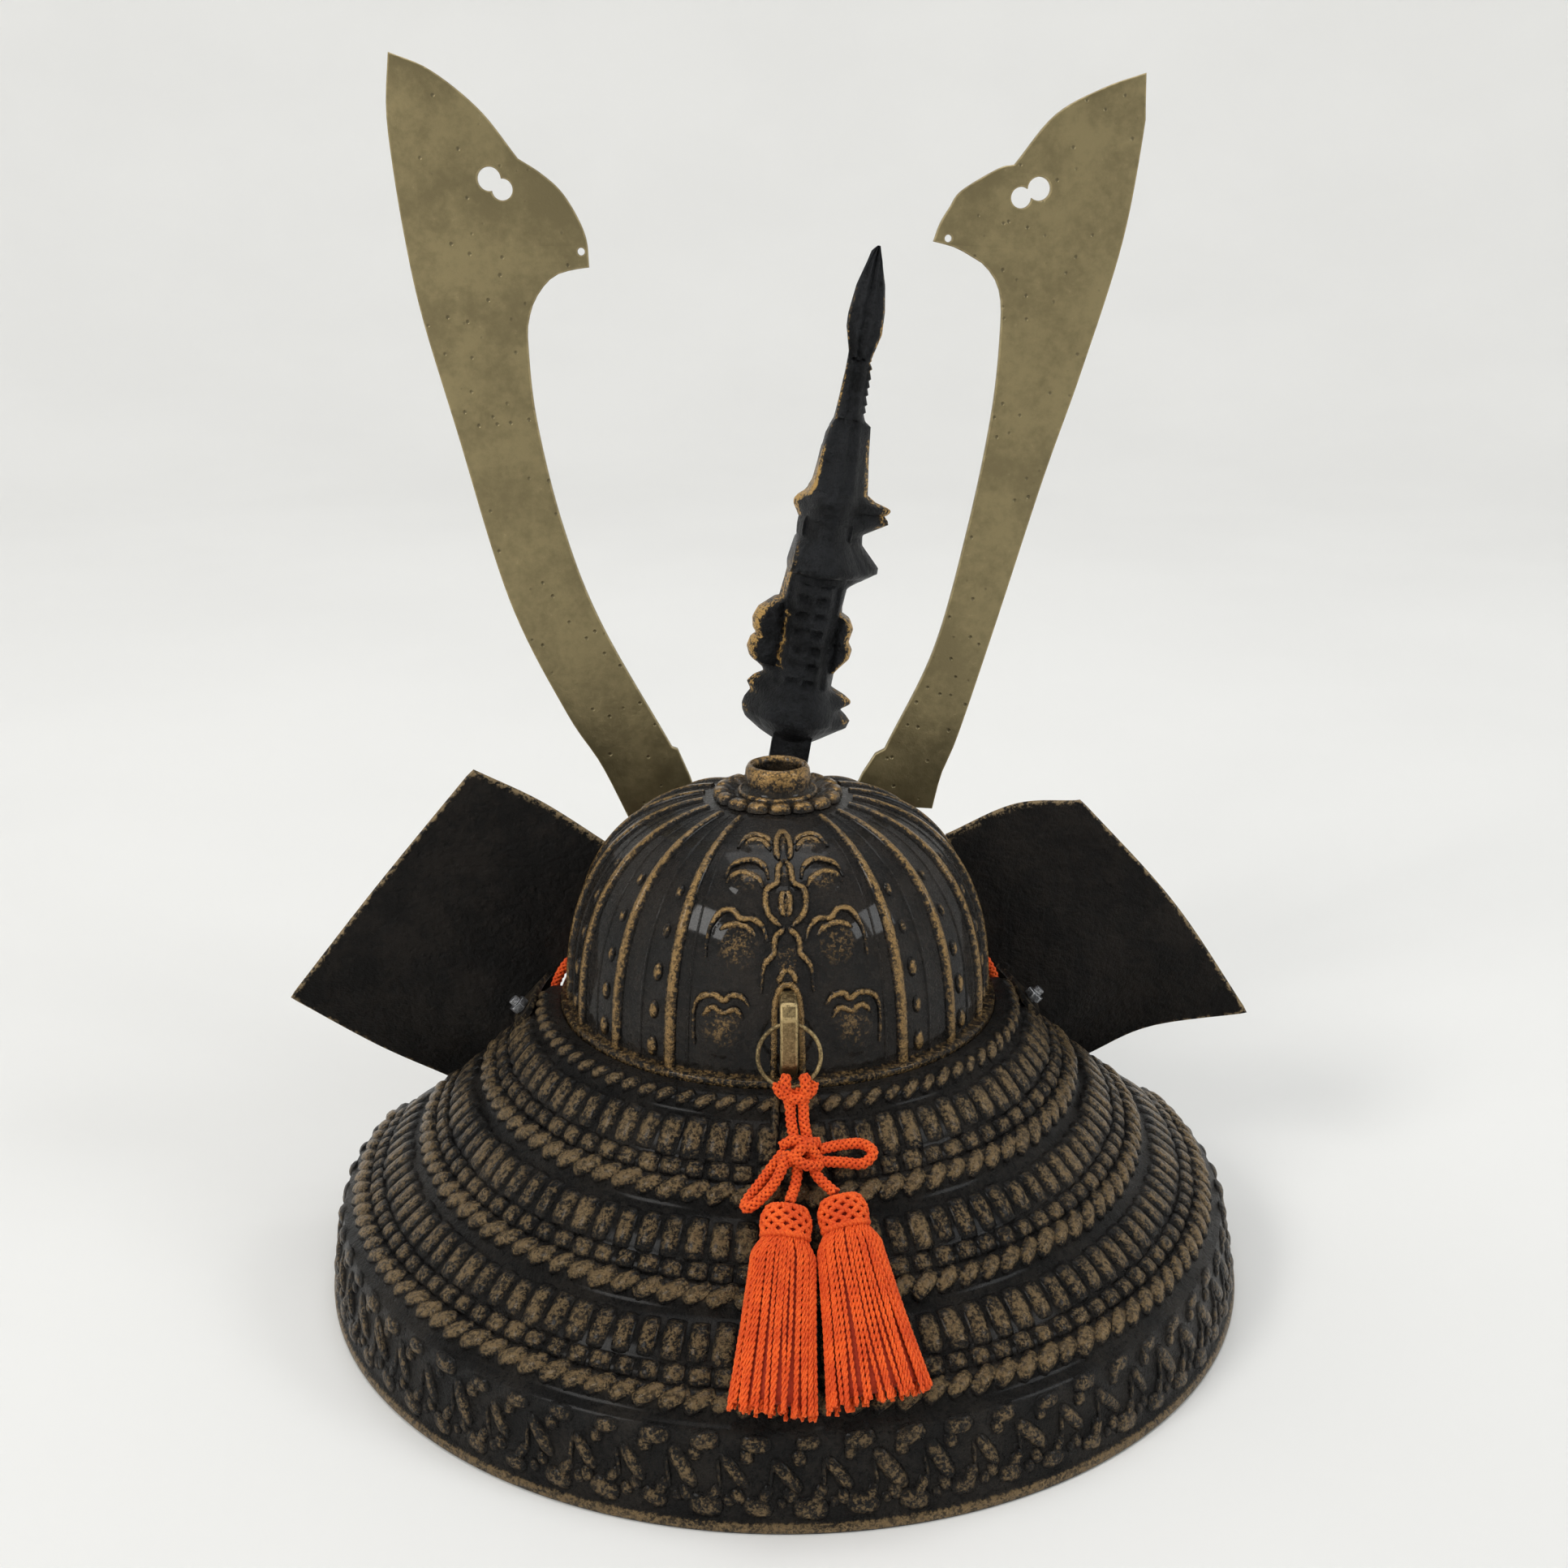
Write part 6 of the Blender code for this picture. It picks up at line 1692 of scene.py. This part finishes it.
bolt = {"thread": 0.00148, "threadGirth": 0.00022, "turns": 9, "start": 0.0036, "reach": 0.0046,
        "steps": 150}
fittings = {
    # the CAD node and its piece, finish, slot, edge width, its steps, angle of the edges that get
    # it, rub, more rub on those edges, angle that is shaded sharp
    "nut_left": ("nutLeft", "dullSteel", "dull_steel", 0.0003, 3, 25, 0.35, 0.5, 40),
    "nut_right": ("nutRight", "dullSteel", "dull_steel", 0.0003, 3, 25, 0.35, 0.5, 40),
    "crest_holder": ("crestHolder", "rubbedBrass", "aged_brass", 0.0006, 3, 25, 0.0, 1.0, 40),
    "peak": ("peak", "bowlBronze", "patinated_bronze", 0.0006, 3, 35, 0.0, 1.0, 30),
}


def addLug():
    shape, rub = refined("rear_lug", 0.0008, 4, 12)
    heights = [sum(shape[0][k][2] for k in face) / len(face) for face in shape[1]]
    # over the lowest 10 mm this falls to a tenth, so the lug is darker towards its foot
    rub = [(0.35 + 0.6 * r) * min(1, max(0.1, (z - rear["lugBottom"]) / 0.010))
           for r, z in zip(rub, heights)]
    dress(addPiece("rearLug", shape, "rubbedBrass", faceRub=rub, angle=40),
          "rubbed_brass", "rear_lug")


def addRing():
    seat, wire = ringFrame(), rear["ringWire"]
    rings = []
    for k in range(72):
        turn = math.tau * k / 72
        out = Vector((math.cos(turn), math.sin(turn), 0))
        rings.append([seat @ (out * (rear["ringRadius"] + wire * math.cos(s))
                              + Vector((0, 0, wire * math.sin(s))))
                      for s in np.linspace(0, math.tau, 14)[:-1]])
    ring = loft(rings, closed=True)
    dress(addPiece("rearRing", ring, "rubbedBrass", rub=np.full(len(ring[0]), 0.55)),
          "rubbed_brass", "rear_ring")


def addBolt(sideName, side):
    azimuth = side * plate["boltAzimuth"]
    radius, height = slopePoint(plate["boltDown"] / slopeLength, 0)
    normal = around(slopeFall, azimuth, slopeRun) - Vector((0, base["back"], 0))
    seat = (Matrix.Translation(onGuard(radius, azimuth, height))
            @ normal.to_track_quat("Z", "Y").to_matrix().to_4x4())
    whole = math.tau * bolt["turns"]
    thread = [seat @ Vector((bolt["thread"] * math.cos(t), bolt["thread"] * math.sin(t),
                             bolt["start"] + bolt["reach"] * t / whole))
              for t in np.linspace(0, whole, bolt["steps"])]
    ridge = tubes([(thread, bolt["threadGirth"])], 6)
    shape, rub = refined("bolt_" + sideName, 0.0002, 2, 40)
    rub = [0.3 + 0.5 * r for r in rub] + [0.9] * len(ridge[1])
    dress(addPiece("bolt" + sideName.title(), merged([shape, ridge]), "dullSteel", faceRub=rub,
                   angle=40), "dull_steel", "bolt_" + sideName)


def addFitting(node):
    name, finish, slot, width, steps, sharp, rest, more, angle = fittings[node]
    shape, rub = refined(node, width, steps, sharp)
    dress(addPiece(name, shape, finish, faceRub=[rest + more * r for r in rub], angle=angle),
          slot, node)


addLug()
addRing()
for sideName, side in (("left", 1), ("right", -1)):
    addBolt(sideName, side)
    addFitting("nut_" + sideName)
addFitting("crest_holder")
addFitting("peak")
print("fittings made")
